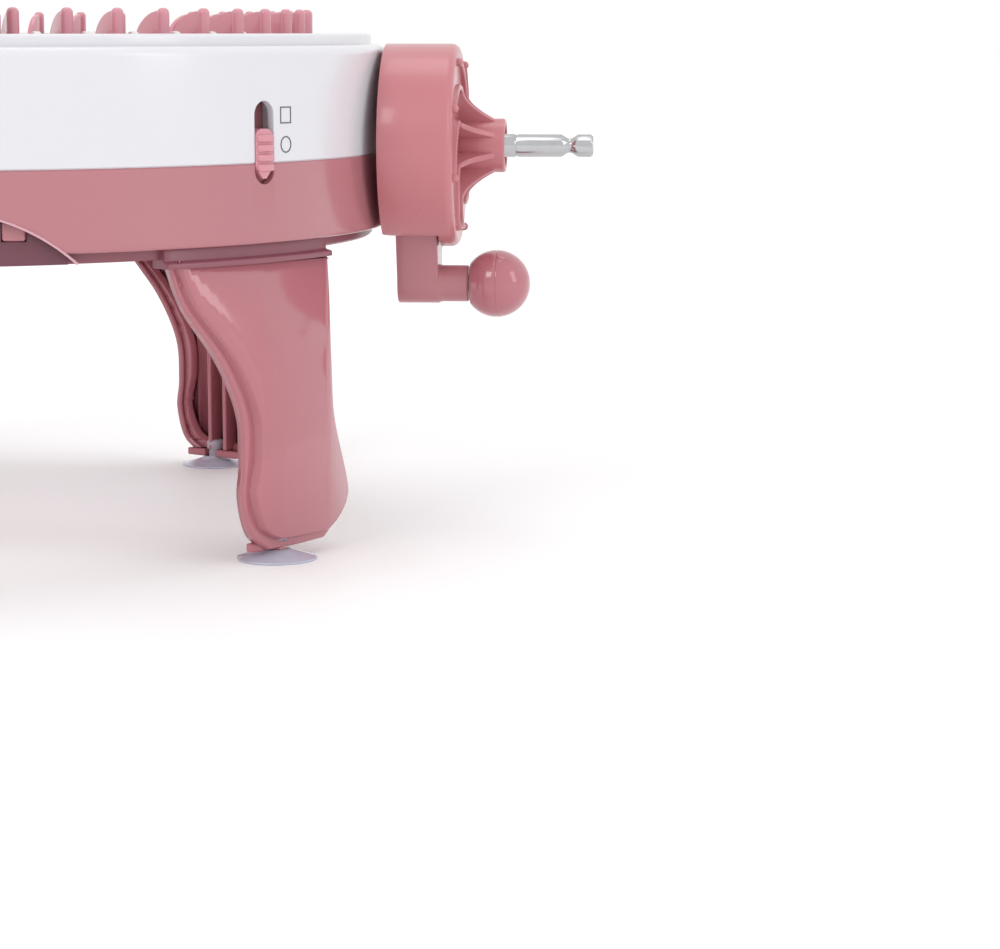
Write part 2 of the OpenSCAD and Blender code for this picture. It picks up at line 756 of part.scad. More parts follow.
// ---- drill adapter ----
// A rib starts high on the hub, falls in a hollow curve, then bends round and ends in a bead
module adapter_rib() {
    ridge = 2;
    bead = cap_r * 0.87;
    knee = cap_r * 0.52;
    rotate([0, 0, 20]) {
        upright(1.7) polygon(concat([[hub_r - 1, cap_face - 1], [hub_r - 1, cap_face + hub_l * 0.8]],
            arc(knee, cap_face + hub_l * 0.8, knee - hub_r, hub_l * 0.8 - ridge, 180, 270, 10),
            [[knee, cap_face - 1]]));
        translate([knee, 0, cap_face - 0.6]) cylinder(r = 0.85, h = ridge + 0.6, $fn = 32);
        translate([knee, 0, cap_face - 0.6]) rotate([0, 0, 52])
            translate([0, -0.85, 0]) cube([cap_r * 0.5, 1.7, ridge + 0.4]);
        rotate([0, 0, 27]) translate([bead - 1, 0, cap_face - 0.6])
            cylinder(r = 1.3, h = ridge + 1, $fn = 32);
    }
}

module adapter_cap() {
    notch = 60;
    color(rose) on_crank() difference() {
        union() {
            rotate_extrude() polygon(concat([[0, cap_face - cap_wall], [cap_r - cap_wall,
                cap_face - cap_wall], [cap_r - cap_wall, cap_rim], [cap_r, cap_rim],
                [cap_r, cap_face - 3]], arc(cap_r - 3, cap_face - 3, 3, 3, 0, 90, 6),
                [[0, cap_face]]));
            translate([0, 0, cap_face - 0.5]) cylinder(r = hub_r, h = hub_l + 0.5);
            for (k = [0 : rib_count - 1]) rotate([0, 0, k * 360 / rib_count]) adapter_rib();
        }
        translate([0, 0, cap_face + hub_l - 8]) cylinder(r = 6.75, h = 20);
        translate([0, 0, cap_face - 10]) cylinder(r = 3 + run_gap, h = 40);
        sector(cap_r + 2, cap_r - 6, cap_rim - 1, arm_out + 1, -notch / 2, notch / 2);
    }
}

module drill_shank() {
    seat = hub_end - 8;
    af = hex_af / cos(30) / 2;
    color(steel) on_crank() {
        translate([0, 0, arm_out + 0.8]) cylinder(r = 3, h = seat - arm_out);
        rotate_extrude() polygon([[0, seat + run_gap], [5.75, seat + run_gap], [5.75, seat + 1.8],
            [3.8, seat + 4], [3.8, hub_end + 3.4], [0, hub_end + 3.4]]);
        translate([0, 0, hub_end + 3.3]) rotate([0, 0, 30]) cylinder(r = af, h = 15.6, $fn = 6);
        translate([0, 0, hub_end + 18.8]) cylinder(r = 2.3, h = 5);
        translate([0, 0, hub_end + 23.6]) rotate([0, 0, 30]) cylinder(r = af, h = 4.9, $fn = 6);
    }
}

module adapter_nut() {
    color(steel) on_crank() translate([0, 0, cap_face - cap_wall - 3.1]) difference() {
        cylinder(r = 5 / cos(30), h = 3, $fn = 6);
        translate([0, 0, -1]) cylinder(r = 3 + run_gap, h = 6);
    }
}

upper_shell();
lower_shell();
top_collar();
base_plate();
cam_ring();
raising_cam();
bearing_bracket();
crank_bushing();
shell_screws();
counter_housing();
counter_bezel();
counter_shaft();
units_wheel();
tens_wheel();
hundreds_wheel();
reset_button();
yarn_guide();
yarn_lever();
yarn_lever_pin();
switch_rails();
switch_slider();
mode_marks();
leg_front_right();
leg_front_left();
leg_rear_right();
leg_rear_left();
suction_cups();
needle_cylinder();
ring_gear();
needle_retainer();
needles();
marker_needle();
crank_shaft();
drive_pinion();
crank_washer();
shaft_clip();
crank_arm();
knob_pin();
knob();
adapter_cap();
drill_shank();
adapter_nut();
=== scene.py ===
# %% [markdown]
# # A circular knitting machine
# A round casing stands on four curved legs. Inside it a ring of needles turns, driven by a
# side crank, and a drill adapter is pushed over the crank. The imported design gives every
# size and place, and this script builds the visible surfaces around it.
# %% Load the design
import json
import math

import bmesh
import bpy
from mathutils import Matrix, Vector


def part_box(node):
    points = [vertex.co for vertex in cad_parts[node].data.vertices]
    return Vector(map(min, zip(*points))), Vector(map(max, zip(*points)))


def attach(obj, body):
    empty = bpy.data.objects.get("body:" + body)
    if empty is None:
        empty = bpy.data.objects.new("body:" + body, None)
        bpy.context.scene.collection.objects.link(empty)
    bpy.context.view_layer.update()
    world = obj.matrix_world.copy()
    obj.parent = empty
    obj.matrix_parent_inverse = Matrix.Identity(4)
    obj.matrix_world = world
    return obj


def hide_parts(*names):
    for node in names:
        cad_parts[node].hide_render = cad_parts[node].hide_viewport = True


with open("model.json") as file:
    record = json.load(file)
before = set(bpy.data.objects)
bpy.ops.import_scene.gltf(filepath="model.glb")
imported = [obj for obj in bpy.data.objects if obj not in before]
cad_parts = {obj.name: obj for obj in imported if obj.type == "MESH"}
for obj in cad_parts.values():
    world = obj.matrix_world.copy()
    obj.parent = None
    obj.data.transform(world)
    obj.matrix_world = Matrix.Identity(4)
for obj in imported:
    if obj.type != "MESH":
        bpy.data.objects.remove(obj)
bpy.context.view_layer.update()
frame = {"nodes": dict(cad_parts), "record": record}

# %% [markdown]
# Everything that follows is measured from the design's nodes and joints. Lengths that only
# the looks need, such as an edge's rounding, are given in millimetres through MM.
# %% Measures
MM = 0.001
ROUND = 192
joints = {joint["name"]: joint for joint in frame["record"]["behaviour"]["joints"]}


def low(node):
    return Vector(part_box(node)[0])


def high(node):
    return Vector(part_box(node)[1])


shell_r = high("lower_shell").x
wall = 2.4 * MM
shell_in = shell_r - wall
lip_z = low("lower_shell").z
seam_z = high("lower_shell").z
top_z = low("top_collar").z
collar_z = high("top_collar").z
collar_r = high("top_collar").x
collar_in = collar_r - 15 * MM
leg_top = low("base_plate").z
base_low = lip_z - 3.3 * MM
base_r = shell_r - 5 * MM
crank_axis = Vector(joints["crank_spin"]["axis"])
crank_z = joints["crank_spin"]["pos_m"][2]
throw = crank_z - joints["knob_spin"]["pos_m"][2]
print("casing radius", round(shell_r, 4), "seam", round(seam_z, 4), "crank height", round(crank_z, 4))

# %% [markdown]
# The crank's parts are easiest to draw upright, with z along the shaft and x towards the
# knob. One matrix then lays them on the crank's axis.
# %% Crank frame
crank_down = Vector((0, 0, -1))
crank_side = crank_axis.cross(crank_down)
on_crank = Matrix((crank_down, crank_side, crank_axis)).transposed().to_4x4()
on_crank.translation = Vector((0, 0, crank_z))
print("crank axis", [round(v, 3) for v in crank_axis])

# %% [markdown]
# Shader sums read best as Python. A Wire holds one output of a node, and adding or
# multiplying wires adds Math nodes. A Finish is a material: its constants go straight on
# the shader's sockets, and only what varies over the surface is fed by wires.
# %% Shader helpers
def plug(tree, socket, value):
    if isinstance(value, Wire):
        tree.links.new(value.socket, socket)
    else:
        socket.default_value = value


class Wire:
    def __init__(self, tree, socket):
        self.tree = tree
        self.socket = socket

    def sum(self, operation, first, second):
        node = self.tree.nodes.new("ShaderNodeMath")
        node.operation = operation
        plug(self.tree, node.inputs[0], first)
        plug(self.tree, node.inputs[1], second)
        return Wire(self.tree, node.outputs[0])

    def __add__(self, other):
        return self.sum("ADD", self, other)

    def __radd__(self, other):
        return self.sum("ADD", other, self)

    def __mul__(self, other):
        return self.sum("MULTIPLY", self, other)

    def __rmul__(self, other):
        return self.sum("MULTIPLY", other, self)


class Finish:
    def __init__(self, name, **constants):
        self.material = bpy.data.materials.new(name)
        self.material.use_nodes = True
        self.tree = self.material.node_tree
        self.shader = self.tree.nodes["Principled BSDF"]
        for socket, value in constants.items():
            self.shader.inputs[socket.replace("_", " ")].default_value = value

    def node(self, kind, settings=None, output=0, **inputs):
        node = self.tree.nodes.new("ShaderNode" + kind)
        for setting, value in (settings or {}).items():
            setattr(node, setting, value)
        for socket, value in inputs.items():
            plug(self.tree, node.inputs[socket.replace("_", " ")], value)
        return Wire(self.tree, node.outputs[output])

    def place(self):
        return self.node("TexCoord", output=3)

    def noise(self, scale, detail=2.0, stretch=(1, 1, 1)):
        spot = self.node("Mapping", Vector=self.place(), Scale=stretch)
        return self.node("TexNoise", Vector=spot, Scale=scale, Detail=detail)

    def blend(self, factor, first, second):
        node = self.tree.nodes.new("ShaderNodeMix")
        node.data_type = "RGBA"
        plug(self.tree, node.inputs[0], factor)
        plug(self.tree, node.inputs[6], first)
        plug(self.tree, node.inputs[7], second)
        return Wire(self.tree, node.outputs[2])

    def feed(self, **wires):
        for socket, wire in wires.items():
            plug(self.tree, self.shader.inputs[socket.replace("_", " ")], wire)

    def bump(self, height, distance):
        self.feed(Normal=self.node("Bump", Height=height, Distance=distance, Strength=1.0))


def tint(colour, factor):
    return (*[min(1.0, c * factor) for c in colour], 1.0)


# %% [markdown]
# ## Finishes
# The casing is glossy moulded plastic. Real mouldings are never one flat colour: the
# pigment drifts a little over centimetres, the gloss is broken by faint ripples from the
# tool, and a fine grain catches the light. Three noises at those three scales give that.
# %% Moulded plastics
def moulded(name, colour, gloss=0.2, drift=0.05, coat=0.25):
    finish = Finish(name, Coat_Weight=coat, Coat_Roughness=0.08, IOR=1.48,
        Subsurface_Weight=0.04, Subsurface_Radius=(0.004, 0.002, 0.002), Subsurface_Scale=0.4)
    clouds = finish.noise(9.0, 3.0)
    ripple = finish.noise(70.0, 2.0)
    grain = finish.noise(2600.0, 1.0)
    finish.feed(Base_Color=finish.blend(clouds, tint(colour, 1 - drift), tint(colour, 1 + drift)),
        Roughness=ripple * 0.10 + grain * 0.06 + (gloss - 0.08))
    finish.bump(ripple * 0.8 + grain * 0.05, 0.00004)
    return finish.material


rose = moulded("rose_plastic", (0.440, 0.170, 0.195))
leg_rose = moulded("rose_plastic_legs", (0.440, 0.148, 0.178), gloss=0.15, coat=0.5)
adapter_rose = moulded("rose_plastic_adapter", (0.510, 0.175, 0.197), gloss=0.3)
# The ledge's pink is darkened as painted shade for the recess under the casing's lip.
painted_shade_ledge_rose = moulded("rose_plastic_ledge_painted_shade", (0.250, 0.080, 0.105), gloss=0.35, coat=0.1)
# A paler pink that paints the highlight along the arch's rim.
painted_highlight_rose = moulded("rose_plastic_painted_highlight", (0.640, 0.350, 0.400), gloss=0.25)
# The fins' pink is real, but it is made lighter than the casing's as a painted highlight.
painted_highlight_fin_rose = moulded("rose_plastic_fins_painted_highlight", (0.620, 0.255, 0.305), gloss=0.16, coat=0.5)
# A dark pink that paints the shade on the bezel behind the arch and on parts deep inside.
painted_shade_rose = moulded("rose_plastic_inside_painted_shade", (0.150, 0.045, 0.068), gloss=0.4, coat=0.1)
pearl = moulded("pearl_plastic", (0.690, 0.685, 0.722), gloss=0.24, drift=0.012)
bone = moulded("needle_plastic", (0.800, 0.790, 0.770), gloss=0.26, drift=0.02)
soot = moulded("marker_plastic", (0.020, 0.018, 0.022), gloss=0.3)
ink = moulded("printed_ink", (0.075, 0.070, 0.080), gloss=0.5, coat=0.0)

# %% [markdown]
# The steel is turned on a lathe, so its tool marks run round each shaft. Rings drawn across
# the shaft by a noise that is stretched along it give both the uneven gloss and the relief.
# The suction cups are soft clear vinyl with a lilac tint, mostly transmission.
# %% Steel and vinyl
def turned_steel(name, colour, rough=0.2):
    finish = Finish(name, Metallic=1.0, IOR=2.5)
    spot = finish.node("VectorRotate", {"rotation_type": "Z_AXIS"}, Vector=finish.place(),
        Angle=math.atan2(-crank_axis.y, crank_axis.x))
    rings = finish.node("TexNoise", Vector=finish.node("Mapping", Vector=spot, Scale=(1, 0.04, 0.04)),
        Scale=3800.0, Detail=2.0)
    smear = finish.noise(300.0, 2.0)
    finish.feed(Base_Color=finish.blend(smear, tint(colour, 0.92), tint(colour, 1.06)),
        Roughness=rings * 0.16 + smear * 0.08 + (rough - 0.1))
    finish.bump(rings, 0.00001)
    return finish.material


def soft_vinyl(name, colour):
    finish = Finish(name, Transmission_Weight=0.55, IOR=1.2, Coat_Weight=0.5,
        Subsurface_Weight=0.2, Subsurface_Scale=0.01)
    haze = finish.noise(160.0, 2.0)
    finish.feed(Base_Color=finish.blend(haze, tint(colour, 0.96), tint(colour, 1.04)),
        Roughness=haze * 0.12 + 0.14)
    finish.bump(haze, 0.00003)
    return finish.material


steel = turned_steel("turned_steel", (0.50, 0.50, 0.51), 0.16)
vinyl = soft_vinyl("suction_vinyl", (0.86, 0.83, 0.97))
print("finishes", len(bpy.data.materials))

# %% [markdown]
# ## Shape helpers
# Most of the machine is turned or moulded, so four operators make nearly all of it: spin
# turns an outline into a round part, extrude thickens a plan, a bevel rounds the edges that
# a mould can't leave sharp, and a bisect slices a flat face so that it can bend.
# %% Outline helpers
def arc(cx, cy, radius, start, end, steps):
    """Points on a circle, in degrees."""
    turns = [math.radians(start + (end - start) * i / steps) for i in range(steps + 1)]
    return [(cx + radius * math.cos(a), cy + radius * math.sin(a)) for a in turns]


def smooth_line(points, steps):
    """A smooth line through a few points."""
    line = []
    last = len(points) - 1
    for i in range(last):
        a, b = Vector(points[max(i - 1, 0)]), Vector(points[i])
        c, d = Vector(points[i + 1]), Vector(points[min(i + 2, last)])
        for k in range(steps):
            t = k / steps
            line.append(0.5 * (2 * b + (c - a) * t + (2 * a - 5 * b + 4 * c - d) * t ** 2
                + (3 * b - a - 3 * c + d) * t ** 3))
    line.append(Vector(points[-1]))
    return line


# %% Mesh helpers
def spin(bm, geom, degrees, steps, centre=(0, 0, 0), axis=(0, 0, 1), copies=False):
    return bmesh.ops.spin(bm, geom=geom, cent=centre, axis=axis, dvec=(0, 0, 0),
        angle=math.radians(degrees), steps=steps, use_merge=(degrees == 360 and not copies),
        use_normal_flip=False, use_duplicate=copies)


def clean(bm):
    bmesh.ops.remove_doubles(bm, verts=bm.verts[:], dist=0.000002)
    bmesh.ops.recalc_face_normals(bm, faces=bm.faces[:])
    return bm


def lathe(outline, sweep=360.0, start=0.0, steps=ROUND, closed=True, bm=None):
    """Turns an outline of (radius, height) about the z axis."""
    part = bmesh.new()
    turn = Matrix.Rotation(math.radians(start), 3, "Z")
    points = [part.verts.new(turn @ Vector((r, 0, z))) for r, z in outline]
    pairs = list(zip(points, points[1:]))
    if closed:
        pairs.append((points[-1], points[0]))
    edges = [part.edges.new(pair) for pair in pairs]
    spin(part, points + edges, sweep, steps)
    if sweep < 360 and closed:
        bmesh.ops.holes_fill(part, edges=[e for e in part.edges if e.is_boundary], sides=0)
    clean(part)
    return merge(bm, part)


def plate(plan, bottom, top, bm=None):
    """Thickens a flat plan of (x, y) points from one height to another."""
    part = bmesh.new()
    face = part.faces.new([part.verts.new((x, y, bottom)) for x, y in plan])
    made = bmesh.ops.extrude_face_region(part, geom=[face], use_keep_orig=True)
    lifted = [item for item in made["geom"] if isinstance(item, bmesh.types.BMVert)]
    bmesh.ops.translate(part, verts=lifted, vec=(0, 0, top - bottom))
    clean(part)
    return merge(bm, part)


def block(size, centre, bm=None):
    part = bmesh.new()
    bmesh.ops.create_cube(part, size=1.0)
    bmesh.ops.scale(part, verts=part.verts[:], vec=size)
    bmesh.ops.translate(part, verts=part.verts[:], vec=centre)
    return merge(bm, part)


def merge(bm, part):
    """Adds a finished part to a bmesh that is being built, or starts one with it."""
    if bm is None:
        return part
    stored = bpy.data.meshes.new("part")
    part.to_mesh(stored)
    part.free()
    bm.from_mesh(stored)
    bpy.data.meshes.remove(stored)
    return bm


def soften(bm, width, segments=2, angle=32.0, keep=lambda edge: True):
    """Rounds every edge that is sharper than the angle."""
    sharp = [e for e in bm.edges if len(e.link_faces) == 2
        and e.calc_face_angle(0.0) > math.radians(angle) and keep(e)]
    bmesh.ops.bevel(bm, geom=sharp, offset=width, offset_type="OFFSET", segments=segments,
        profile=0.5, affect="EDGES", clamp_overlap=True, material=-1)
    return bm


def moved(bm, matrix):
    bmesh.ops.transform(bm, matrix=matrix, verts=bm.verts[:])
    return bm


def turned_about_z(degrees):
    return Matrix.Rotation(math.radians(degrees), 4, "Z")


def shifted(x, y, z):
    return Matrix.Translation((x, y, z))


stood_up = Matrix.Rotation(math.radians(90), 4, "X")
facing_out = Matrix(((0, 0, 1), (1, 0, 0), (0, 1, 0))).to_4x4()
quarters = [(False, False), (False, True), (True, False), (True, True)]


def mirrored(bm, across_x, across_y):
    """Mirrors a shape for another quarter of the machine."""
    flip = Matrix.Diagonal((-1 if across_x else 1, -1 if across_y else 1, 1, 1))
    moved(bm, flip)
    if across_x != across_y:
        bmesh.ops.reverse_faces(bm, faces=bm.faces[:])
    return bm


# %% [markdown]
# A finished shape becomes an object with its faces shaded smooth and its hard edges marked.
# It is told which body it rides on, so it moves with its joint, and which nodes it replaces.
# %% Finished pieces
made_pieces = []


def piece(name, bm, material, body, nodes=(), sharp=38.0):
    """Turns a bmesh into an object that rides a body and stands for its design nodes."""
    mesh = bpy.data.meshes.new(name)
    bm.to_mesh(mesh)
    bm.free()
    mesh.polygons.foreach_set("use_smooth", [True] * len(mesh.polygons))
    mesh.set_sharp_from_angle(angle=math.radians(sharp))
    mesh.materials.append(material)
    obj = bpy.data.objects.new(name, mesh)
    bpy.context.scene.collection.objects.link(obj)
    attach(obj, body)
    if nodes:
        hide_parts(*nodes)
    made_pieces.append(obj)
    print(name, len(mesh.polygons), "faces")
    return obj


def applied(obj):
    """Bakes an object's modifiers into its mesh."""
    graph = bpy.context.evaluated_depsgraph_get()
    result = bpy.data.meshes.new_from_object(obj.evaluated_get(graph))
    obj.modifiers.clear()
    obj.data = result
    return obj


def carved(bm, cutters, operation="DIFFERENCE"):
    """Cuts solid tools out of a solid, exactly, and returns the result as a bmesh."""
    targets = []
    for shape in (bm, *cutters):
        mesh = bpy.data.meshes.new("carving")
        shape.to_mesh(mesh)
        shape.free()
        obj = bpy.data.objects.new("carving", mesh)
        bpy.context.scene.collection.objects.link(obj)
        targets.append(obj)
    body, tools = targets[0], targets[1:]
    for tool in tools:
        cut = body.modifiers.new("cut", "BOOLEAN")
        cut.operation = operation
        cut.solver = "EXACT"
        cut.object = tool
    bpy.context.view_layer.update()
    applied(body)
    result = bmesh.new()
    result.from_mesh(body.data)
    for obj in targets:
        bpy.data.objects.remove(obj)
    return clean(result)


# %% [markdown]
# ## Camera, floor and light
# The machine is seen from the front, at the height of its collar, and it fills the left of
# the frame, so the camera stands squarely before it and looks a little right and down.
# A pale floor and three soft boxes give the broad, even sheen of a studio.
# %% Camera
camera_data = bpy.data.cameras.new("camera")
camera_data.sensor_width = 36.0
camera_data.lens = 105.35
camera_data.clip_start = 0.01
camera_data.clip_end = 50.0
camera = bpy.data.objects.new("camera", camera_data)
camera.location = (0.00215, -0.98958, 0.16168)
camera.rotation_euler = (math.radians(90 - 8.639), 0.0, math.radians(-10.8))
bpy.context.scene.collection.objects.link(camera)
bpy.context.scene.camera = camera
bpy.context.scene.view_settings.view_transform = "Standard"
print("camera", [round(v, 3) for v in camera.location], "lens", camera_data.lens)

# %% Floor
floor_finish = Finish("floor", IOR=1.4, Emission_Strength=1.0)
floor_dust = floor_finish.noise(3.0, 2.0)
floor_spot = floor_finish.place()
reach = floor_finish.node("VectorMath", {"operation": "LENGTH"}, output=1, Vector=floor_spot)
near_m, far_m = 0.5, 2.5
far = floor_finish.node("MapRange", Value=reach, From_Min=near_m, From_Max=far_m)
glow_near, glow_far = (0.06, 0.06, 0.06, 1), (0.3, 0.3, 0.3, 1)
floor_finish.feed(
    Base_Color=floor_finish.blend(floor_dust, (0.88, 0.88, 0.89, 1), (0.9, 0.9, 0.9, 1)),
    Roughness=floor_dust * 0.1 + 0.5,
    Emission_Color=floor_finish.blend(far, glow_near, glow_far))
floor_shape = bmesh.new()
floor_r = 12.0
bmesh.ops.create_circle(floor_shape, cap_ends=True, segments=64, radius=floor_r)
floor_mesh = bpy.data.meshes.new("floor")
floor_shape.to_mesh(floor_mesh)
floor_shape.free()
floor_mesh.materials.append(floor_finish.material)
floor = bpy.data.objects.new("floor", floor_mesh)
bpy.context.scene.collection.objects.link(floor)
print("floor radius", floor_r)


# %% Light
def soft_box(name, place, aim, size, power):
    data = bpy.data.lights.new(name, "AREA")
    data.shape = "RECTANGLE"
    data.size, data.size_y = size
    data.energy = power
    lamp = bpy.data.objects.new(name, data)
    lamp.location = place
    lamp.rotation_euler = (Vector(aim) - Vector(place)).to_track_quat("-Z", "Y").to_euler()
    bpy.context.scene.collection.objects.link(lamp)


soft_box("key", (-1.3, -1.5, 1.5), (0.1, 0, 0.1), (0.9, 0.7), 10)
soft_box("fill", (1.6, -1.1, 0.8), (0.1, 0, 0.1), (0.5, 1.1), 4)
soft_box("top", (0.2, 0.4, 2.2), (0, 0, 0.1), (1.2, 1.0), 5)
world = bpy.data.worlds.new("studio")
world.use_nodes = True
world.node_tree.nodes["Background"].inputs[0].default_value = (1, 1, 1, 1)
world.node_tree.nodes["Background"].inputs[1].default_value = 1.0
bpy.context.scene.world = world
print("lamps", [data.name for data in bpy.data.lights])

# %% [markdown]
# ## The casing
# Two moulded shells meet at a seam. Each is an outline spun round the drum's axis. The seam
# reads as a fine dark line because both rims are chamfered, so the outline carries that
# chamfer. The slot for the mode switch is carved through both, and then its rim is rounded.
# %% Slot cutter
switch = (low("switch_slider") + high("switch_slider")) / 2
switch_az = math.degrees(math.atan2(switch.y, switch.x))
slot_w = 8.3 * MM
slot_low = seam_z - 6.3 * MM
slot_high = seam_z + 18.5 * MM
print("slot from", round(slot_low, 4), "to", round(slot_high, 4))


def slot_cutter():
    half = slot_w / 2
    plan = arc(0, slot_high - half, half, 0, 180, 20) + arc(0, slot_low + half, half, 180, 360, 20)
    tool = plate(plan, shell_r - 9 * MM, shell_r + 6 * MM)
    return moved(tool, turned_about_z(switch_az) @ facing_out)


def near_slot(edge):
    middle = (edge.verts[0].co + edge.verts[1].co) / 2
    out = Vector((math.cos(math.radians(switch_az)), math.sin(math.radians(switch_az)), 0))
    across = abs(middle.cross(out).z)
    inside = across < slot_w / 2 + 0.2 * MM and slot_low - MM / 5 < middle.z < slot_high + MM / 5
    return inside and middle.xy.dot(out.xy) > shell_r - 0.5 * MM


# %% Upper casing
edge_r = 3 * MM
roof_z = top_z - 2.2 * MM
roof_in = 128 * MM
chamfer = 0.45 * MM
upper = lathe([(shell_in, seam_z), (shell_r - chamfer, seam_z), (shell_r, seam_z + chamfer)]
    + arc(shell_r - edge_r, top_z - edge_r, edge_r, 0, 90, 8)
    + [(roof_in + 0.4 * MM, top_z), (roof_in, top_z - 0.4 * MM), (roof_in, roof_z),
       (shell_in - 1.5 * MM, roof_z), (shell_in, roof_z - 1.5 * MM)], steps=256)
upper = carved(upper, [slot_cutter()])
soften(upper, 0.35 * MM, 3, 40, near_slot)
screw_ring = shell_r - 9.5 * MM
screw_angles = [14, 75, 105, 166, 203, 248, 292, 333]
for angle in screw_angles:
    post = lathe([(1.4 * MM, lip_z + 2 * MM), (4 * MM, lip_z + 2 * MM), (4 * MM, roof_z + MM / 2),
        (1.4 * MM, roof_z + MM / 2)], steps=24)
    moved(post, turned_about_z(angle) @ shifted(screw_ring, 0, 0))
    merge(upper, post)
piece("upper_casing", upper, pearl, "root", ["upper_shell"])

# %% [markdown]
# The lower casing has an arch at the front. Its bottom rim is spun with the rest, and then
# each column of points in front is lifted to the arch, so the rounded rim follows it.
# %% Lower casing
arch_half = 40 * MM
arch_h = 16 * MM
arch_r = (arch_half ** 2 + arch_h ** 2) / (2 * arch_h)


def arch_z(x):
    """Height of the arch's edge, or None beside it."""
    if abs(x) >= arch_r:
        return None
    z = base_low + arch_h - arch_r + math.sqrt(arch_r ** 2 - x ** 2)
    return z if z > lip_z else None


def lift_arch(bm):
    """Squeezes each column of points in front between the arch and the seam."""
    for vert in bm.verts:
        edge = arch_z(vert.co.x)
        if vert.co.y < 0 and edge is not None:
            vert.co.z = seam_z - (seam_z - vert.co.z) * (seam_z - edge) / (seam_z - lip_z)
    return bm


lower = lathe(arc(shell_r - 0.9 * MM, lip_z + 0.9 * MM, 0.9 * MM, -90, 0, 4)
    + [(shell_r, lip_z + 3 * MM), (shell_r, seam_z - chamfer), (shell_r - chamfer, seam_z),
       (shell_in, seam_z), (shell_in, lip_z + 3 * MM), (shell_in, lip_z + 0.5 * MM),
       (shell_in + 0.5 * MM, lip_z)], steps=480)
lift_arch(lower)
lower = carved(lower, [slot_cutter()])
soften(lower, 0.35 * MM, 3, 40, near_slot)
lathe([(shell_r - 14 * MM, lip_z), (shell_in, lip_z), (shell_in, lip_z + 2 * MM),
    (shell_r - 14 * MM, lip_z + 2 * MM)], 326, -73, 174, bm=lower)
piece("lower_casing", lower, rose, "root", ["lower_shell"])

# %% [markdown]
# The arch is framed by a thin raised rim that runs down to the base, as on the real
# moulding: a short strip whose section is swept along the arch on the casing's surface.
# Below the casing's lip the strip is deeper, so that its ends join the base ledge.
# %% Arch rim
def sweep(sections, bm=None):
    """Extrudes one loop of points through the places that the sections give."""
    part = bmesh.new()
    loop = [part.verts.new(point) for point in sections[0]]
    first = face = part.faces.new(loop)
    for section in sections[1:]:
        made = bmesh.ops.extrude_face_region(part, geom=[face], use_keep_orig=face is first)
        fresh = {item for item in made["geom"] if isinstance(item, bmesh.types.BMVert)}
        face = [item for item in made["geom"] if isinstance(item, bmesh.types.BMFace)][0]
        loop = [[e.other_vert(v) for e in v.link_edges if e.other_vert(v) in fresh][0] for v in loop]
        for vert, point in zip(loop, section):
            vert.co = point
    clean(part)
    return merge(bm, part)


rim_w = 0.8 * MM
rim_half, rim_steps = 43.6, 48
rim_sections = []
for i in range(rim_steps + 1):
    swing = math.radians(rim_half * (2 * i / rim_steps - 1))
    below_lip = base_low + arch_h - arch_r + arch_r * math.cos(swing) < lip_z + 0.5 * MM
    inner = -5.2 * MM if below_lip else -1.6 * MM
    section = []
    for radial, reach in ((0, inner), (0, 0.2 * MM), (rim_w, 0.2 * MM), (rim_w, inner)):
        x = (arch_r + radial) * math.sin(swing)
        z = base_low + arch_h - arch_r + (arch_r + radial) * math.cos(swing)
        y = -math.sqrt((shell_r + reach) ** 2 - x ** 2)
        section.append((x, y, max(z, base_low)))
    rim_sections.append(section)
arch_rim = soften(sweep(rim_sections), 0.2 * MM, 2, 40)
# The rim is coloured with the paler pink, a painted highlight.
piece("arch_rim", arch_rim, painted_highlight_rose, "root")

# %% [markdown]
# The collar is a flat ring on the roof. Both its upper edges are rounded in the outline.
# %% Collar
collar = lathe([(collar_in, top_z)] + [(collar_r, top_z)]
    + arc(collar_r - 1.1 * MM, collar_z - 1.1 * MM, 1.1 * MM, 0, 90, 5)
    + arc(collar_in + 1.1 * MM, collar_z - 1.1 * MM, 1.1 * MM, 90, 180, 5), steps=256)
piece("collar", collar, pearl, "root", ["top_collar"])

# %% [markdown]
# The base plate is a ring with a guide collar inside. Four raised bands under it hold the
# legs' tongues. Under the front it steps back so that the arch stays open.
# %% Base
opening_r = 105 * MM
guide_r = 107 * MM
base = lathe([(guide_r, base_low), (base_r - 0.6 * MM, base_low), (base_r, base_low + 0.6 * MM),
    (base_r, lip_z), (guide_r, lip_z)], steps=360)
arch_back = -142 * MM
for vert in base.verts:
    if abs(vert.co.x) < arch_half - 0.2 * MM and vert.co.y < arch_back:
        vert.co.y = arch_back
lathe([(opening_r, base_low + 0.5 * MM), (opening_r + 0.5 * MM, base_low), (guide_r, base_low),
    (guide_r, base_low + 16 * MM), (opening_r, base_low + 16 * MM)], bm=base)
lathe([(117 * MM, lip_z), (113 * MM, lip_z), (113 * MM, lip_z + 2.6 * MM),
    (117 * MM, lip_z + 2.6 * MM)], bm=base)
for across_x, across_y in quarters:
    band = lathe([(shell_r - 9.6 * MM, leg_top - 0.6 * MM), (shell_r - 0.4 * MM, leg_top - 0.6 * MM),
        (shell_r - 0.4 * MM, leg_top + MM), (shell_r - 2.6 * MM, leg_top + 1.6 * MM),
        (shell_r - 2.6 * MM, lip_z), (shell_r - 9.6 * MM, lip_z)], 27.6, -63.4, 26)
    merge(base, mirrored(soften(band, 0.35 * MM, 2), across_x, across_y))
# The base ledge wears that darkened pink, painted shade for its recess.
piece("base_ledge", base, painted_shade_ledge_rose, "root", ["base_plate"])

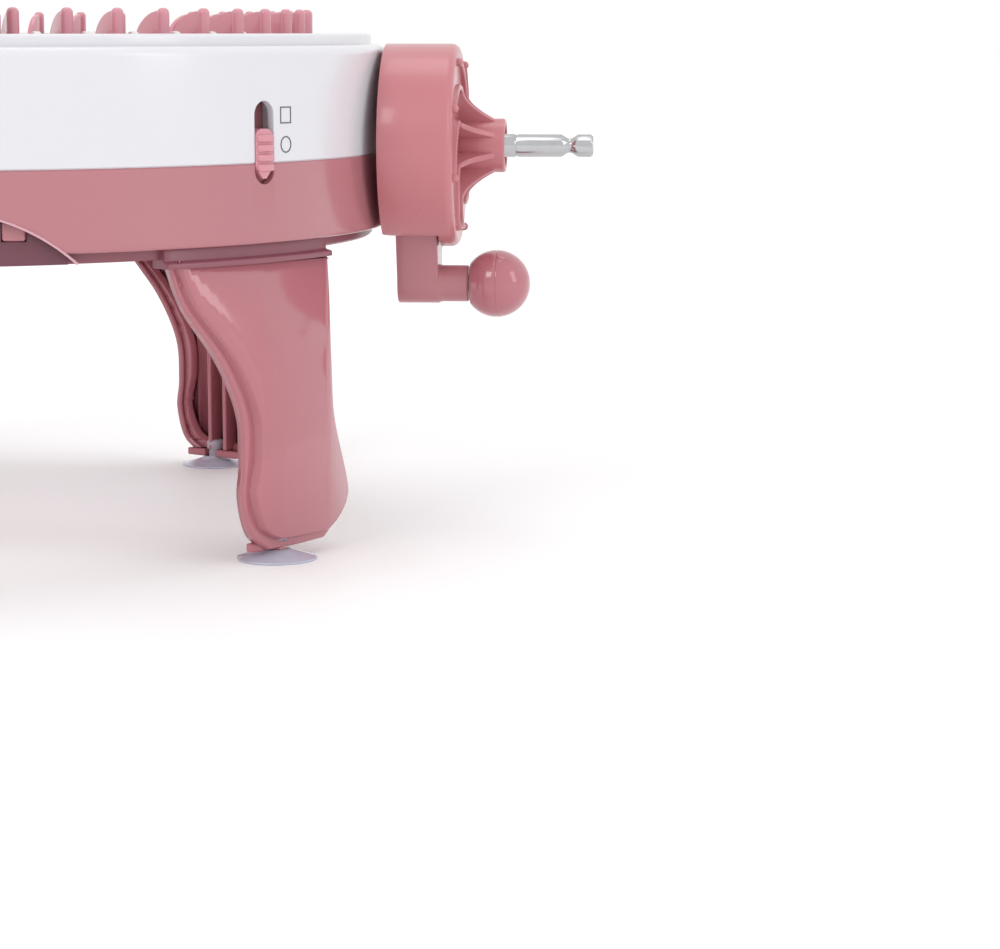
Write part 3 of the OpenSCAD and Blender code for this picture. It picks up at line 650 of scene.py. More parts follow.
# %% [markdown]
# ## Legs
# A leg is a curved panel raised above a rim. Its outline swings in at the waist and out at
# the foot. Two smooth outlines, the rim's and the panel's, are bridged into a shallow
# relief while everything is still flat, the faces are sliced into strips, and the whole
# leg is then rolled on to the casing's curve, which a flat moulding can't follow by itself.
# %% Leg outlines
leg_w = 84 * MM
leg_h = base_low
leg_r = shell_r - MM
strip_start, strip_w = -0.05, 3.5 * MM
rim_line = (smooth_line([(-0.545, 1), (-0.47, 0.84), (-0.31, 0.66), (-0.213, 0.49), (-0.2, 0.33),
    (-0.212, 0.22), (-0.172, 0.1), (-0.08, 0.04)], 7)
    + smooth_line([(0.28, 0.035), (0.355, 0.07), (0.425, 0.13), (0.43, 0.21), (0.325, 0.43),
    (0.303, 0.6), (0.285, 0.88), (0.262, 1)], 7))
panel_line = (smooth_line([(-0.523, 1), (-0.445, 0.85), (-0.272, 0.67), (-0.166, 0.5), (-0.152, 0.36),
    (-0.180, 0.23), (-0.130, 0.115), (-0.050, 0.075)], 7)
    + smooth_line([(0.26, 0.066), (0.342, 0.096), (0.413, 0.145), (0.421, 0.215), (0.317, 0.43),
    (0.296, 0.6), (0.278, 0.88), (0.255, 1)], 7))


def leg_loop(bm, line, depth, shrink=0.0):
    """A line of edges at one depth behind the casing's face, drawn a little smaller."""
    flat = [Vector((p[0] * leg_w, min(p[1] * leg_h, leg_top))) for p in line]
    verts = []
    for i, point in enumerate(flat):
        before, after = flat[max(i - 1, 0)], flat[min(i + 1, len(flat) - 1)]
        tangent = (after - before).normalized()
        inward = Vector((-tangent.y, tangent.x)) * shrink
        verts.append(bm.verts.new((point.x + inward.x, depth, min(point.y + inward.y, leg_top))))
    return [bm.edges.new(pair) for pair in zip(verts, verts[1:])]


def roll(bm):
    """Wraps a flat leg round the drum's axis: x becomes an angle and y a depth."""
    for vert in bm.verts:
        angle = vert.co.x / leg_r - math.radians(45)
        out = leg_r - vert.co.y
        vert.co.x = out * math.cos(angle)
        vert.co.y = out * math.sin(angle)


def build_leg():
    bm = bmesh.new()
    steps = [(rim_line, 6.5 * MM, 0.0), (rim_line, 3.9 * MM, 0.0), (rim_line, 3.3 * MM, 0.2 * MM),
        (rim_line, 3.0 * MM, 0.6 * MM), (panel_line, 3.1 * MM, -0.3 * MM), (panel_line, 2.7 * MM, 0.0),
        (panel_line, 0.9 * MM, 0.1 * MM), (panel_line, 0.3 * MM, 0.4 * MM), (panel_line, 0.0, 1.1 * MM)]
    loops = [leg_loop(bm, line, depth, shrink) for line, depth, shrink in steps]
    for first, second in zip(loops, loops[1:]):
        bmesh.ops.bridge_loops(bm, edges=first + second)
    top_edge = bm.edges.new((loops[-1][0].verts[0], loops[-1][-1].verts[1]))
    bmesh.ops.contextual_create(bm, geom=loops[-1] + [top_edge])
    bmesh.ops.recalc_face_normals(bm, faces=bm.faces[:])
    for i in range(1, 27):
        bmesh.ops.bisect_plane(bm, geom=bm.verts[:] + bm.edges[:] + bm.faces[:], dist=1e-7,
            plane_co=(strip_start + strip_w * i, 0, 0), plane_no=(1, 0, 0))
    turned_in = [f for f in bm.faces if f.normal.y > 0.5]
    if len(turned_in) > len(bm.faces) / 3:
        bmesh.ops.reverse_faces(bm, faces=bm.faces[:])
    return bm


# %% Legs and their ribs
foot_r = leg_r - 5.7 * MM
foot_z = 3.3 * MM
shelf_z = 6.0 * MM


def leg_inside():
    """The ribs and the shelf with its keyhole, drawn at 45 degrees from the front."""
    deep = leg_r - 9 * MM
    bm = bmesh.new()
    for y in (0, 7 * MM, 14 * MM):
        rib = block((6 * MM, 1.6 * MM, 0.72 * leg_h - 6 * MM),
            (deep + 3 * MM, y, shelf_z + (0.72 * leg_h - 6 * MM) / 2))
        merge(bm, soften(rib, 0.4 * MM, 2))
    half = 2.7 * MM
    edge = leg_r - 5.2 * MM
    plan = ([(edge, -8 * MM), (edge, 19 * MM), (deep, 19 * MM), (deep, half)]
        + arc(foot_r, 0, half, 90, -90, 12)
        + [(deep, -half), (deep, -11 * MM), (edge - 2 * MM, -11 * MM)])
    merge(bm, soften(plate(plan, foot_z, shelf_z), 0.5 * MM, 2))
    return moved(bm, turned_about_z(-45))


def leg_piece(name, across_x, across_y):
    bm = build_leg()
    roll(bm)
    shell = piece(name, bm, leg_rose, "root", [name])
    thick = shell.modifiers.new("thickness", "SOLIDIFY")
    thick.thickness = 1.8 * MM
    thick.offset = -1.0
    applied(shell)
    full = bmesh.new()
    full.from_mesh(shell.data)
    merge(full, leg_inside())
    merge(full, lathe([(leg_r - 7.2 * MM, leg_top - 6 * MM), (leg_r - 2.6 * MM, leg_top - 6 * MM),
        (leg_r - 2.6 * MM, lip_z - 1.5 * MM), (leg_r - 7.2 * MM, lip_z - 1.5 * MM)], 23.2, -61.2, 16))
    mirrored(full, across_x, across_y)
    full.to_mesh(shell.data)
    full.free()
    return shell


leg_piece("leg_front_right", False, False)
leg_piece("leg_front_left", True, False)
leg_piece("leg_rear_right", False, True)
leg_piece("leg_rear_left", True, True)

# %% [markdown]
# A suction cup is one soft moulding: a thin skirt that flares to the table, a waist that
# snaps into the leg's keyhole, and a mushroom head above it. It is spun as a whole.
# %% Suction cups
cup_r = 12.5 * MM
head_z = shelf_z + 0.1 * MM
cup_line = ([(0, 1.5 * MM), (6 * MM, 1.1 * MM), (cup_r - 1.2 * MM, 0), (cup_r - 0.3 * MM, 0)]
    + [(cup_r, 0.3 * MM), (cup_r - 0.2 * MM, 0.7 * MM)]
    + [(10 * MM, 1.35 * MM), (7.4 * MM, 2.1 * MM), (5 * MM, 2.8 * MM), (4.2 * MM, foot_z - 0.1 * MM)]
    + [(2.5 * MM, foot_z - 0.05 * MM), (2.5 * MM, head_z), (3.2 * MM, head_z)]
    + arc(1.9 * MM, head_z + 2.0 * MM, 1.5 * MM, -25, 90, 6) + [(0, head_z + 3.5 * MM)])
cups = bmesh.new()
for across_x, across_y in quarters:
    cup = lathe(cup_line, steps=72, closed=False)
    moved(cup, turned_about_z(-45) @ shifted(foot_r, 0, 0))
    merge(cups, mirrored(cup, across_x, across_y))
piece("suction_cups_soft", cups, vinyl, "root", ["suction_cups"])

# %% [markdown]
# ## Needle cylinder
# The turning cylinder repeats one slice 48 times: a groove for a needle, and between the
# grooves a fin with a rounded outer post and a thin web that falls inwards in a quarter
# ellipse. One slice and one fin are modelled, and the spin operator copies them round.
# %% Fins
needle_count = 48
pitch = 360 / needle_count
drum_out = 122 * MM
drum_in = 111 * MM
fin_out = 126 * MM
fin_z = high("needle_cylinder").z
drum_low = low("needle_cylinder").z


def fin_shape():
    web = 1.9 * MM
    reach = fin_out - drum_in - 3 * MM
    rise = fin_z - roof_z - 2.3 * MM
    bow = [(drum_in + reach - reach * math.cos(math.radians(a)), roof_z + 1.5 * MM
        + rise * math.sin(math.radians(a))) for a in range(0, 91, 9)]
    plan = [(drum_in, roof_z - MM)] + bow + [(fin_out - MM, roof_z + 1.5 * MM + rise),
        (fin_out - MM, roof_z + MM), (drum_out - MM, roof_z - MM)]
    bm = soften(plate(plan, -web / 2, web / 2), 0.45 * MM, 2, 50)
    moved(bm, stood_up)
    post_r = 1.85 * MM
    post = lathe([(0, roof_z + 0.6 * MM), (post_r, roof_z + 0.6 * MM), (post_r, fin_z - 2.0 * MM)]
        + arc(post_r - 1.5 * MM, fin_z - 1.5 * MM, 1.5 * MM, 0, 90, 5) + [(0, fin_z)],
        steps=16, closed=False)
    merge(bm, moved(post, shifted(fin_out - post_r, 0, 0)))
    foot = block((3 * MM, 5.2 * MM, 2.0 * MM), (drum_out - 1.6 * MM, 0, roof_z + 0.9 * MM))
    return merge(bm, soften(foot, 0.6 * MM, 2))


def ring_of(bm, count, first, step):
    """Copies a shape round the drum: the first one is turned into place, the rest are spun."""
    moved(bm, turned_about_z(first))
    spin(bm, bm.verts[:] + bm.edges[:] + bm.faces[:], step * (count - 1), count - 1, copies=True)
    return bm


def drum_slice():
    half = pitch / 2
    notch = math.degrees(1.5 * MM / drum_out)
    floor_r = drum_out - 5 * MM
    ends = [(drum_in, -half), (drum_out - 0.5 * MM, -half), (drum_out - 0.5 * MM, -notch),
        (floor_r, -notch), (floor_r, notch), (drum_out - 0.5 * MM, notch),
        (drum_out - 0.5 * MM, half), (drum_in, half)]
    plan = [(r * math.cos(math.radians(a)), r * math.sin(math.radians(a))) for r, a in ends]
    bm = plate(plan, drum_low + 7 * MM, roof_z + 0.4 * MM)
    seams = [f for f in bm.faces if abs(abs(math.degrees(math.atan2(f.calc_center_median().y,
        f.calc_center_median().x))) - half) < 0.01]
    bmesh.ops.delete(bm, geom=seams, context="FACES_ONLY")
    return bm


drum = ring_of(drum_slice(), needle_count, -90, pitch)
bmesh.ops.remove_doubles(drum, verts=drum.verts[:], dist=0.00001)
lathe([(drum_in, drum_low + 8 * MM), (107.4 * MM, drum_low + 8 * MM), (107.4 * MM, drum_low),
    (132 * MM, drum_low), (132 * MM, drum_low + 3.4 * MM), (drum_out - 0.6 * MM, drum_low + 3.4 * MM),
    (drum_out - 0.6 * MM, drum_low + 8 * MM)], bm=drum)
merge(drum, ring_of(fin_shape(), needle_count, -90 + pitch / 2, pitch))
# The fins get the lightened pink, partly a painted highlight.
piece("fin_drum", drum, painted_highlight_fin_rose, "cylinder", ["needle_cylinder"])

# %% [markdown]
# ## Needles
# Each needle is a flat moulded latch needle: a stem, a butt that follows the cam track, an
# open hook at the top and a small latch that hangs below it. One is dark, to count rounds.
# %% Needles
def needle_shape():
    inner, outer = 117.3 * MM, 121.3 * MM
    butt_z = roof_z - 12.3 * MM
    hook_z = roof_z + 4.3 * MM
    bend = inner + 2.6 * MM
    plan = ([(inner, drum_low + 7.2 * MM), (outer, drum_low + 7.2 * MM), (outer, butt_z),
        (outer + 4.7 * MM, butt_z + 0.3 * MM), (outer + 4.7 * MM, butt_z + 2.2 * MM),
        (outer, butt_z + 2.5 * MM), (outer, roof_z - 6 * MM), (inner + 1.6 * MM, roof_z - 4 * MM)]
        + arc(bend, hook_z, MM, 180, 0, 6)
        + [(bend + MM, hook_z - 1.6 * MM), (bend + 2.2 * MM, hook_z - 1.6 * MM)]
        + arc(bend, hook_z, 2.2 * MM, 0, 180, 8)
        + [(inner + 0.4 * MM, roof_z - 5 * MM), (inner, roof_z - 6 * MM)])
    bm = soften(plate(plan, -1.2 * MM, 1.2 * MM), 0.25 * MM, 1, 50)
    latch = [(inner + 1.7 * MM, roof_z - 4 * MM), (inner + 5.3 * MM, roof_z - 2.6 * MM),
        (inner + 5.5 * MM, roof_z - 1.9 * MM), (inner + 1.7 * MM, roof_z - 2.8 * MM)]
    merge(bm, plate(latch, -0.4 * MM, 0.4 * MM))
    return moved(bm, stood_up)


piece("needle_bank", ring_of(needle_shape(), needle_count - 1, -90 + pitch, pitch), bone,
    "cylinder", ["needles"])
piece("needle_marker", moved(needle_shape(), turned_about_z(-90)), soot,
    "cylinder", ["marker_needle"])

# %% [markdown]
# ## Crank
# The crank arm is a round hub with a tapering arm, hollow towards the casing. Its plan is
# thickened, the face towards the casing is inset, and the inset face is pushed in. The
# stub for the knob meets the arm in a small fillet, so it is spun from a curved outline.
# %% Crank arm
arm_in = shell_r + 4.8 * MM
arm_out = arm_in + 13.5 * MM
disc_r = 30.1 * MM
knob_face = arm_out + 9.9 * MM


def arm_plan():
    end_r = 6.5 * MM
    meet = math.degrees(math.asin(11.0 * MM / disc_r))
    return (arc(0, 0, disc_r, meet, 360 - meet, 60)
        + [(throw - 2 * MM, -end_r)] + arc(throw, 0, end_r, -80, 80, 14)
        + [(throw - 2 * MM, end_r)])


arm = plate(arm_plan(), arm_in, arm_out)
mouth = [f for f in arm.faces if f.normal.z < -0.9]
bmesh.ops.inset_region(arm, faces=mouth, thickness=2.0 * MM, use_even_offset=True)
floor_faces = bmesh.ops.extrude_face_region(arm, geom=mouth)
bmesh.ops.translate(arm, vec=(0, 0, 11.1 * MM),
    verts=[v for v in floor_faces["geom"] if isinstance(v, bmesh.types.BMVert)])
bmesh.ops.delete(arm, geom=mouth, context="FACES_ONLY")
clean(arm)
soften(arm, 0.45 * MM, 3, 50)
stub = lathe([(0, arm_out - MM), (6.45 * MM, arm_out - 0.6 * MM), (6.4 * MM, arm_out - 0.1 * MM),
    (6.15 * MM, arm_out + 0.4 * MM), (6.0 * MM, arm_out + 1.3 * MM), (6.0 * MM, knob_face - 0.7 * MM),
    (5.6 * MM, knob_face - 0.25 * MM), (0, knob_face - 0.25 * MM)], steps=64, closed=False)
merge(arm, moved(stub, shifted(throw, 0, 0)))
lathe([(4.02 * MM, shell_r + 2.6 * MM), (8 * MM, shell_r + 2.6 * MM), (8 * MM, arm_out - MM),
    (4.02 * MM, arm_out - MM)], steps=48, bm=arm)
piece("crank_lever", moved(arm, on_crank), rose, "crank", ["crank_arm"])

# %% [markdown]
# The knob is a ball with a flat towards the crank. A shallow groove round its middle is the
# parting line of its mould, made by drawing the outline in a little there.
# %% Knob
knob_r = 11 * MM
knob_z = knob_face + 8.8 * MM
flat = math.degrees(math.asin(8.6 / 11.0))
ball = []
for r, z in arc(0, knob_z, knob_r, -flat, 90, 96):
    ball.append((r - (0.13 * MM if abs(z - knob_z) < 0.25 * MM else 0.0), z))
knob = lathe([(2.55 * MM, knob_face + 0.3 * MM), (4.6 * MM, knob_face + 0.1 * MM),
    (5.9 * MM, knob_face + 0.05 * MM)] + ball, steps=96, closed=False)
piece("ball_knob", moved(knob, on_crank @ shifted(throw, 0, 0)), leg_rose, "knob",
    ["knob"])

# %% [markdown]
# ## Drill adapter
# A cap drops over the crank. Its skirt has a gap that lets the arm through, and eight ribs
# run from the hub across the face. The skirt is spun as a single skin, the gap is deleted
# while it is still a skin, its corners are rounded, and only then does it get its wall.
# %% Adapter cap
cap_r = 32.8 * MM
cap_rim = shell_r + 1.3 * MM
cap_face = arm_out + 6.7 * MM
hub_r = 8.75 * MM
hub_l = 15 * MM
hub_end = cap_face + hub_l
notch_top = arm_out + MM
cap_line = ([(cap_r, cap_rim), (cap_r, cap_rim + 8 * MM), (cap_r, notch_top),
    (cap_r, cap_face - 3.0 * MM)]
    + arc(cap_r - 2.6 * MM, cap_face - 2.6 * MM, 2.6 * MM, 0, 90, 7)
    + [(22 * MM, cap_face), (hub_r - MM, cap_face)])
cap = lathe(cap_line, steps=180, closed=False)
gap_faces = [f for f in cap.faces if f.calc_center_median().z < notch_top
    and abs(math.degrees(math.atan2(f.calc_center_median().y, f.calc_center_median().x))) < 30]
bmesh.ops.delete(cap, geom=gap_faces, context="FACES")
corners = [v for v in cap.verts if v.is_boundary and v.co.z < cap_rim + MM / 10
    and abs(abs(math.degrees(math.atan2(v.co.y, v.co.x))) - 30) < 0.6]
bmesh.ops.bevel(cap, geom=corners, offset=3.5 * MM, offset_type="OFFSET", segments=5, profile=0.5,
    affect="VERTICES", clamp_overlap=False, material=-1)
cap_skin = piece("adapter_cap_skirt", cap, adapter_rose, "adapter", ["adapter_cap"])
cap_wall = cap_skin.modifiers.new("wall", "SOLIDIFY")
cap_wall.thickness = 2.4 * MM
cap_wall.offset = -1.0
cap_wall.use_even_offset = True
cap_edge = cap_skin.modifiers.new("edge", "BEVEL")
cap_edge.width = 0.35 * MM
cap_edge.segments = 2
cap_edge.limit_method = "ANGLE"
cap_edge.angle_limit = math.radians(50)
applied(cap_skin)

# %% [markdown]
# A rib starts high on the hub, falls in a hollow curve to a low ridge, bends round with the
# turn of the cap and ends in a small bead. Its section is swept along that path.
# %% Ribs
rib_count = 8
ridge = 1.7 * MM


def rib_place(t):
    """Middle of the rib at t from 0 to 1: radius, angle in degrees and height over the face."""
    if t < 0.5:
        radius = hub_r - 0.5 * MM + (0.58 * cap_r - hub_r) * t / 0.5
        fall = 1 - (t / 0.5)
        return radius, 0.0, ridge + (0.86 * hub_l - ridge) * fall ** 1.75
    u = (t - 0.5) / 0.5
    return 0.565 * cap_r + 0.305 * cap_r * u ** 0.9, 44 * u ** 1.25, ridge - 0.5 * MM * u


def rib_shape(turn):
    sections = []
    count = 40
    for i in range(count + 1):
        t = i / count
        radius, angle, rise = rib_place(t)
        ahead, behind = rib_place(min(t + 0.01, 1)), rib_place(max(t - 0.01, 0))
        flat = [Vector((r * math.cos(math.radians(a + turn)), r * math.sin(math.radians(a + turn)), 0))
            for r, a, _ in (behind, (radius, angle, rise), ahead)]
        side = (flat[2] - flat[0]).normalized().cross(Vector((0, 0, 1)))
        half = 0.95 * MM - 0.25 * MM * t
        foot, crest = cap_face - 0.4 * MM, cap_face + rise
        wall_line = [(half + 0.35 * MM, foot), (half + 0.05 * MM, cap_face + 0.5 * MM),
            (half, crest - 0.4 * MM), (half * 0.45, crest)]
        outline = [(-w, z) for w, z in wall_line] + [(w, z) for w, z in reversed(wall_line)]
        sections.append([flat[1] + side * w + Vector((0, 0, z)) for w, z in outline])
    bm = sweep(sections)
    radius, angle, rise = rib_place(1.0)
    bead = lathe([(0, -MM)] + [(1.35 * MM, -MM)] + arc(0, 0.2 * MM, 1.35 * MM, 0, 90, 5), steps=20,
        closed=False)
    spot = math.radians(angle + turn)
    return merge(bm, moved(bead,
        shifted(radius * math.cos(spot), radius * math.sin(spot), cap_face + 0.3 * MM)))


ribs = bmesh.new()
for k in range(rib_count):
    merge(ribs, rib_shape(20 + k * 360 / rib_count))
lathe([(hub_r, cap_face - 0.5 * MM), (hub_r, hub_end - 0.5 * MM), (hub_r - 0.5 * MM, hub_end),
    (7.15 * MM, hub_end), (6.75 * MM, hub_end - 0.4 * MM), (6.75 * MM, hub_end - 8 * MM),
    (3.05 * MM, hub_end - 8 * MM), (3.05 * MM, cap_face - 2.4 * MM),
    (hub_r - 0.8 * MM, cap_face - 2.4 * MM)], steps=96, bm=ribs)
piece("adapter_ribs_and_hub", moved(ribs, on_crank), adapter_rose, "adapter")
moved_cap = bmesh.new()
moved_cap.from_mesh(cap_skin.data)
moved(moved_cap, on_crank)
moved_cap.to_mesh(cap_skin.data)
moved_cap.free()

# %% [markdown]
# The shank is a hexagonal bar that was turned afterwards: the lathe leaves the groove, the
# neck and the scalloped chamfers where its cone cuts the bar's flats. Intersecting a
# hexagonal prism with a turned shape repeats that and gives the scallops by itself.
# %% Drill shank
hex_r = 6.35 * MM / 2 / math.cos(math.radians(30))
shank_end = hub_end + 28.5 * MM
bar = bmesh.new()
bmesh.ops.create_cone(bar, cap_ends=True, segments=6, radius1=hex_r, radius2=hex_r, depth=0.06)
moved(bar, shifted(0, 0, hub_end + 0.02) @ turned_about_z(30))
neck = 2.3 * MM
turned = lathe([(0, hub_end + 2.6 * MM), (3.15 * MM, hub_end + 2.6 * MM),
    (3.75 * MM, hub_end + 4.4 * MM), (3.75 * MM, hub_end + 18.0 * MM), (3.2 * MM, hub_end + 18.9 * MM),
    (neck + 0.2 * MM, hub_end + 20.0 * MM), (neck, hub_end + 20.6 * MM), (neck, hub_end + 21.0 * MM),
    (neck + 0.2 * MM, hub_end + 21.6 * MM), (3.2 * MM, hub_end + 22.7 * MM),
    (3.75 * MM, hub_end + 23.6 * MM), (3.75 * MM, shank_end - 1.0 * MM), (3.0 * MM, shank_end),
    (0, shank_end)], steps=96, closed=False)
shank = carved(bar, [turned], "INTERSECT")
soften(shank, 0.12 * MM, 2, 40)
seat = hub_end - 8 * MM
lathe([(0, seat + 0.05 * MM), (5.6 * MM, seat + 0.05 * MM), (5.75 * MM, seat + 0.3 * MM),
    (5.75 * MM, seat + 1.7 * MM), (5.45 * MM, seat + 2.1 * MM), (3.95 * MM, seat + 3.7 * MM),
    (3.8 * MM, seat + 4.2 * MM), (3.8 * MM, hub_end + 2.9 * MM), (3.5 * MM, hub_end + 3.3 * MM),
    (0, hub_end + 3.3 * MM)], steps=96, closed=False, bm=shank)
lathe([(0, arm_out + 0.8 * MM), (2.8 * MM, arm_out + 0.8 * MM), (3 * MM, arm_out + MM),
    (3 * MM, seat + 0.2 * MM), (0, seat + 0.2 * MM)], steps=48, closed=False, bm=shank)
piece("hex_shank", moved(shank, on_crank), steel, "adapter", ["drill_shank"])

# %% [markdown]
# ## Mode switch
# The slider is a small tongue with four grip ridges and a pointed lower end. Behind the
# slot a flat pink wall with an opening closes the view into the machine. The two
# positions are marked by a plain printed square and circle.
# %% Switch
to_switch = turned_about_z(switch_az) @ facing_out
slider_low = seam_z - 4.7 * MM
slider_high = seam_z + 10.3 * MM
slide_half = (slot_w - 0.7 * MM) / 2
round_r = 2.8 * MM
round_z = slider_high - round_r
tongue_plan = ([(slide_half, slider_high - 3 * MM)]
    + arc(slide_half - round_r, round_z, round_r, 10, 90, 6)
    + arc(-slide_half + round_r, round_z, round_r, 90, 170, 6)
    + [(-slide_half, slider_high - 3 * MM), (-slide_half, slider_low + 3.4 * MM),
       (-0.8 * MM, slider_low), (0.8 * MM, slider_low), (slide_half, slider_low + 3.4 * MM)])
slider = soften(plate(tongue_plan, shell_in - 1.8 * MM, shell_r + 0.15 * MM), 0.4 * MM, 3)
grip_size = (2 * slide_half - 0.6 * MM, 2.3 * MM, 2.4 * MM)
for k in range(4):
    grip = block(grip_size, (0, slider_low + 3.4 * MM + k * 2.9 * MM, shell_r))
    merge(slider, soften(grip, 0.85 * MM, 4))


def panel(half, bottom, top, back, front):
    """A flat rectangle, thickened from its back to its front."""
    return plate([(-half, bottom), (half, bottom), (half, top), (-half, top)], back, front)


backing = panel(6 * MM, slider_low - 6 * MM, slider_high - MM, shell_in - 3.4 * MM, shell_in - 1.2 * MM)
merge(slider, soften(backing, 0.4 * MM, 2))
# The slider shares the fins' pink, lightened as painted highlight.
piece("mode_slider", moved(slider, to_switch), painted_highlight_fin_rose, "switch", ["switch_slider"])

# %% Wall behind the slot
well_plan = (arc(-1.2 * MM, slot_high - 7.4 * MM, 3.1 * MM, 0, 180, 14)
    + [(-4.3 * MM, slot_low), (1.9 * MM, slot_low)])
well = panel(6.2 * MM, slot_low - 2 * MM, slot_high + 3 * MM, shell_in - 5.4 * MM, shell_in - 3.9 * MM)
well = carved(well, [plate(well_plan, shell_in - 8 * MM, shell_in)])
piece("switch_well", moved(soften(well, 0.3 * MM, 2), to_switch), rose, "root")

# %% Printed marks
mark_az = switch_az + 3.7
to_marks = turned_about_z(mark_az) @ facing_out
line_w = 0.32 * MM
mark_half = 2.5 * MM
marks = bmesh.new()


def printed(outer, inner):
    """A printed outline: the space between two loops, laid just proud of the casing."""
    bm = bmesh.new()
    edges = []
    for loop in (outer, inner):
        verts = [bm.verts.new((x, y, 0)) for x, y in loop]
        edges += [bm.edges.new((verts[i], verts[(i + 1) % len(verts)])) for i in range(len(verts))]
    bmesh.ops.bridge_loops(bm, edges=edges)
    made = bmesh.ops.extrude_face_region(bm, geom=bm.faces[:], use_keep_orig=True)
    lifted = [v for v in made["geom"] if isinstance(v, bmesh.types.BMVert)]
    bmesh.ops.translate(bm, verts=lifted, vec=(0, 0, 0.12 * MM))
    for vert in bm.verts:
        vert.co.z += math.sqrt((shell_r + 0.02 * MM) ** 2 - vert.co.x ** 2)
    return clean(bm)


def square_loop(cy, half):
    ends = [(1, 1), (-1, 1), (-1, -1), (1, -1)]
    loop = []
    for i, (a, b) in enumerate(ends):
        c, d = ends[(i + 1) % 4]
        loop += [(half * (a + (c - a) * k / 6), cy + half * (b + (d - b) * k / 6)) for k in range(6)]
    return loop


square_z, circle_z = seam_z + 14.1 * MM, seam_z + 5.3 * MM
merge(marks, printed(square_loop(square_z, mark_half), square_loop(square_z, mark_half - line_w)))
merge(marks, printed(arc(0, circle_z, mark_half, 0, 345, 23),
    arc(0, circle_z, mark_half - line_w, 0, 345, 23)))
piece("printed_marks", moved(marks, to_marks), ink, "root", ["mode_marks"])

# %% [markdown]
# ## Row counter
# Behind the arch sits a curved bezel with a window. Three small wheels carry the digits, and
# a rounded button beside them resets the count.
# %% Counter bezel
counter_z = lip_z + 6.9 * MM
bezel_r = shell_r - 4 * MM
window_half, window_h = 14 * MM, 2.4 * MM
bezel = lathe([(bezel_r - 1.6 * MM, base_low), (bezel_r, base_low), (bezel_r, counter_z + 7.4 * MM),
    (bezel_r - 1.6 * MM, counter_z + 7.4 * MM)], 30, -105, 60)
button = (low("reset_button"), high("reset_button"))
window = block((2 * window_half, 16 * MM, 2 * window_h), (0, -shell_r + 5 * MM, counter_z))
hole = block((button[1].x - button[0].x + 0.4 * MM, 16 * MM, button[1].z - button[0].z + 0.4 * MM),
    ((button[0].x + button[1].x) / 2, -shell_r + 5 * MM, (button[0].z + button[1].z) / 2))
bezel = soften(carved(bezel, [window, hole]), 0.25 * MM, 2, 50)
# The bezel's dark pink is painted shade for the recess behind the arch.
piece("counter_bezel_panel", bezel, painted_shade_rose, "root", ["counter_bezel"])
size = button[1] - button[0]
cap_button = soften(block((size.x, size.y, size.z), (button[0] + button[1]) / 2), 0.9 * MM, 4)
piece("reset_cap", cap_button, rose, "reset", ["reset_button"])


# %% Counter wheels
def digit_wheel(name, node, body):
    """A wheel whose rim carries the digits 0 to 9."""
    centre = (low(node) + high(node)) / 2
    radius = (high(node).z - low(node).z) / 2
    half = (high(node).x - low(node).x) / 2
    wheel = lathe([(1.1 * MM, -half), (radius - 0.6 * MM, -half), (radius - 0.3 * MM, -half + 0.3 * MM),
        (radius - 0.3 * MM, half - 0.3 * MM), (radius - 0.6 * MM, half), (1.1 * MM, half)], steps=60)
    moved(wheel, Matrix.Translation(centre) @ Matrix.Rotation(math.radians(90), 4, "Y"))
    piece(name, wheel, pearl, body, [node])
    digits = bmesh.new()
    for digit in range(10):
        text = bpy.data.curves.new("digit", "FONT")
        text.body = str(digit)
        text.size = 3.4 * MM
        text.extrude = 0.06 * MM
        text.align_x, text.align_y = "CENTER", "CENTER"
        holder = bpy.data.objects.new("digit", text)
        bpy.context.scene.collection.objects.link(holder)
        bpy.context.view_layer.update()
        graph = bpy.context.evaluated_depsgraph_get()
        flat = bpy.data.meshes.new_from_object(holder.evaluated_get(graph))
        glyph = bmesh.new()
        glyph.from_mesh(flat)
        turn = Matrix.Rotation(math.radians(36 * digit), 4, "X")
        face = shifted(0, -(radius - 0.27 * MM), 0) @ stood_up
        moved(glyph, Matrix.Translation(centre) @ turn @ face)
        merge(digits, glyph)
        bpy.data.objects.remove(holder)
    piece(name + "_digits", digits, ink, body)


for place in ("units", "tens", "hundreds"):
    digit_wheel("count_" + place, place + "_wheel", place)

# %% [markdown]
# ## Yarn guide
# A tapered plate stands on the collar and leads the yarn through its eyelets to the
# needles. A light lever on its front keeps the yarn under tension.
# %% Guide plate
guide_high = high("yarn_guide")
guide_y = -137 * MM
guide_h = guide_high.z - collar_z
neck_r = 8.4 * MM
lever_x = joints["lever_swing"]["pos_m"][0]
lever_z = joints["lever_swing"]["pos_m"][2]
outline = ([(20 * MM, collar_z + 0.1 * MM), (16.5 * MM, collar_z + 8 * MM)]
    + arc(0, guide_high.z - neck_r, neck_r, 0, 180, 24)
    + [(-16.5 * MM, collar_z + 8 * MM), (-20 * MM, collar_z + 0.1 * MM)])
guide = plate(outline, -2 * MM, 2 * MM)


def drill(x, y, r):
    """A round tool for a hole through a plate."""
    tool = lathe([(0, -9 * MM), (r, -9 * MM), (r, 9 * MM), (0, 9 * MM)], steps=32, closed=False)
    return moved(tool, shifted(x, y, 0))


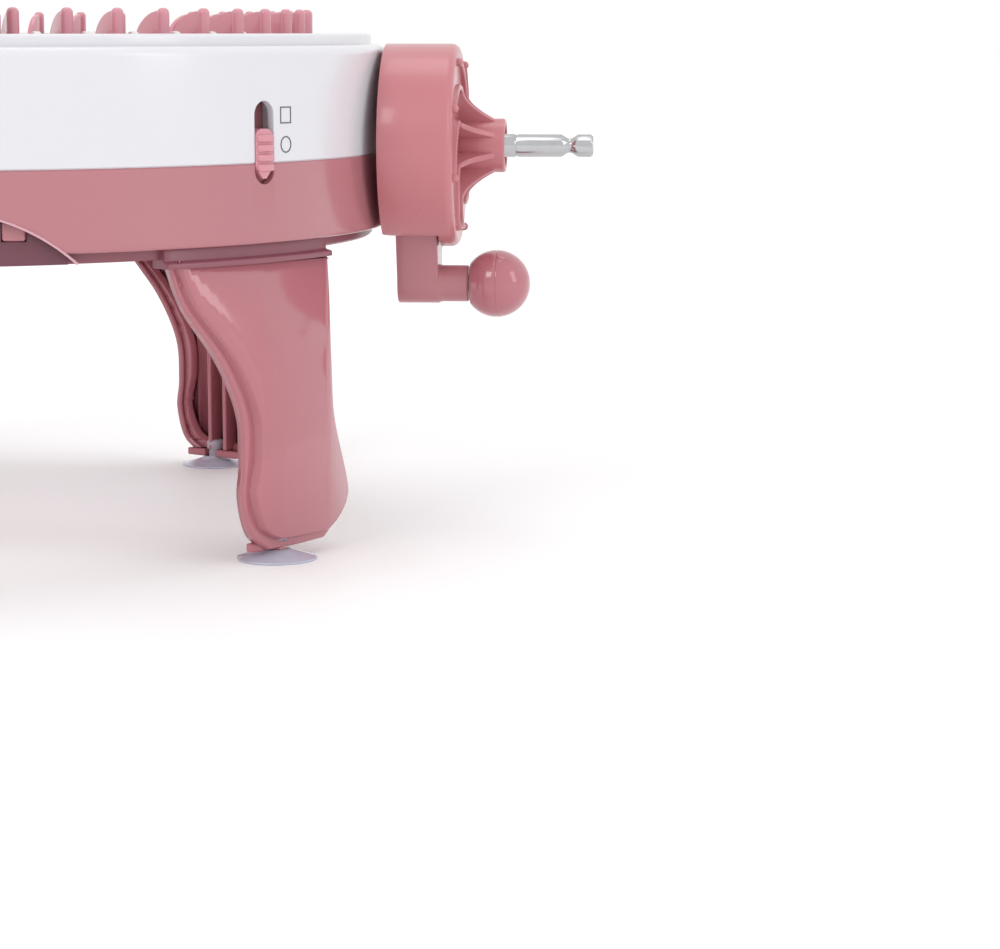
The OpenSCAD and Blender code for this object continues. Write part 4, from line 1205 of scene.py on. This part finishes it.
pin_hole = 1.55 * MM
guide = carved(guide, [drill(0, guide_high.z - neck_r, 2.4 * MM),
    drill(9.5 * MM, collar_z + guide_h / 2, 2.0 * MM), drill(lever_x, lever_z, pin_hole)])
soften(guide, 0.6 * MM, 3, 40)
moved(guide, shifted(0, guide_y, 0) @ stood_up)
foot = block((40 * MM, 9 * MM, 2.2 * MM), (0, guide_y, collar_z + 1.15 * MM))
merge(guide, soften(foot, 0.7 * MM, 3))
arm_length = 15.5 * MM
feed_x, feed_z = 6.5 * MM, collar_z + 14 * MM
feeder = block((7 * MM, arm_length, 3 * MM), (feed_x, guide_y + arm_length / 2, feed_z))
soften(feeder, 0.9 * MM, 3)
eye = lathe([(0, -0.1), (1.4 * MM, -0.1), (1.4 * MM, 0.3), (0, 0.3)], steps=24, closed=False)
feeder = carved(feeder, [moved(eye, shifted(feed_x, -123.5 * MM, 0))])
merge(guide, feeder)
piece("yarn_post", guide, rose, "root", ["yarn_guide"])

# %% Tension lever
lever_l = 26 * MM
lever_plan = (arc(0, 0, 4.2 * MM, 28, 332, 30) + arc(lever_l, 0, 4.0 * MM, -150, 150, 26))
lever = carved(plate(lever_plan, 0, 3 * MM), [drill(0, 0, pin_hole), drill(lever_l, 0, 1.8 * MM)])
soften(lever, 0.5 * MM, 3, 40)
moved(lever, shifted(lever_x, guide_y - 2.3 * MM, lever_z) @ stood_up)
piece("tension_lever", lever, pearl, "lever", ["yarn_lever"])

# %% [markdown]
# ## Design nodes that stay
# The bearings, gears, screws and pins keep the design's own shapes. Each gets the finish of
# what it is made of, except the raising cam and the counter housing, which get painted shade.
# %% Kept nodes
kept = {
    "cam_ring": pearl, "raising_cam": painted_shade_rose, "bearing_bracket": pearl, "crank_bushing": pearl,
    "shell_screws": steel, "counter_housing": painted_shade_rose, "counter_shaft": steel,
    "yarn_lever_pin": steel, "switch_rails": pearl, "ring_gear": pearl, "needle_retainer": pearl,
    "crank_shaft": steel, "drive_pinion": pearl, "crank_washer": steel, "shaft_clip": steel,
    "knob_pin": steel, "adapter_nut": steel,
}
for node, material in kept.items():
    mesh = frame["nodes"][node].data
    mesh.materials.clear()
    mesh.materials.append(material)
print("kept", len(kept), "design nodes and made", len(made_pieces), "pieces")
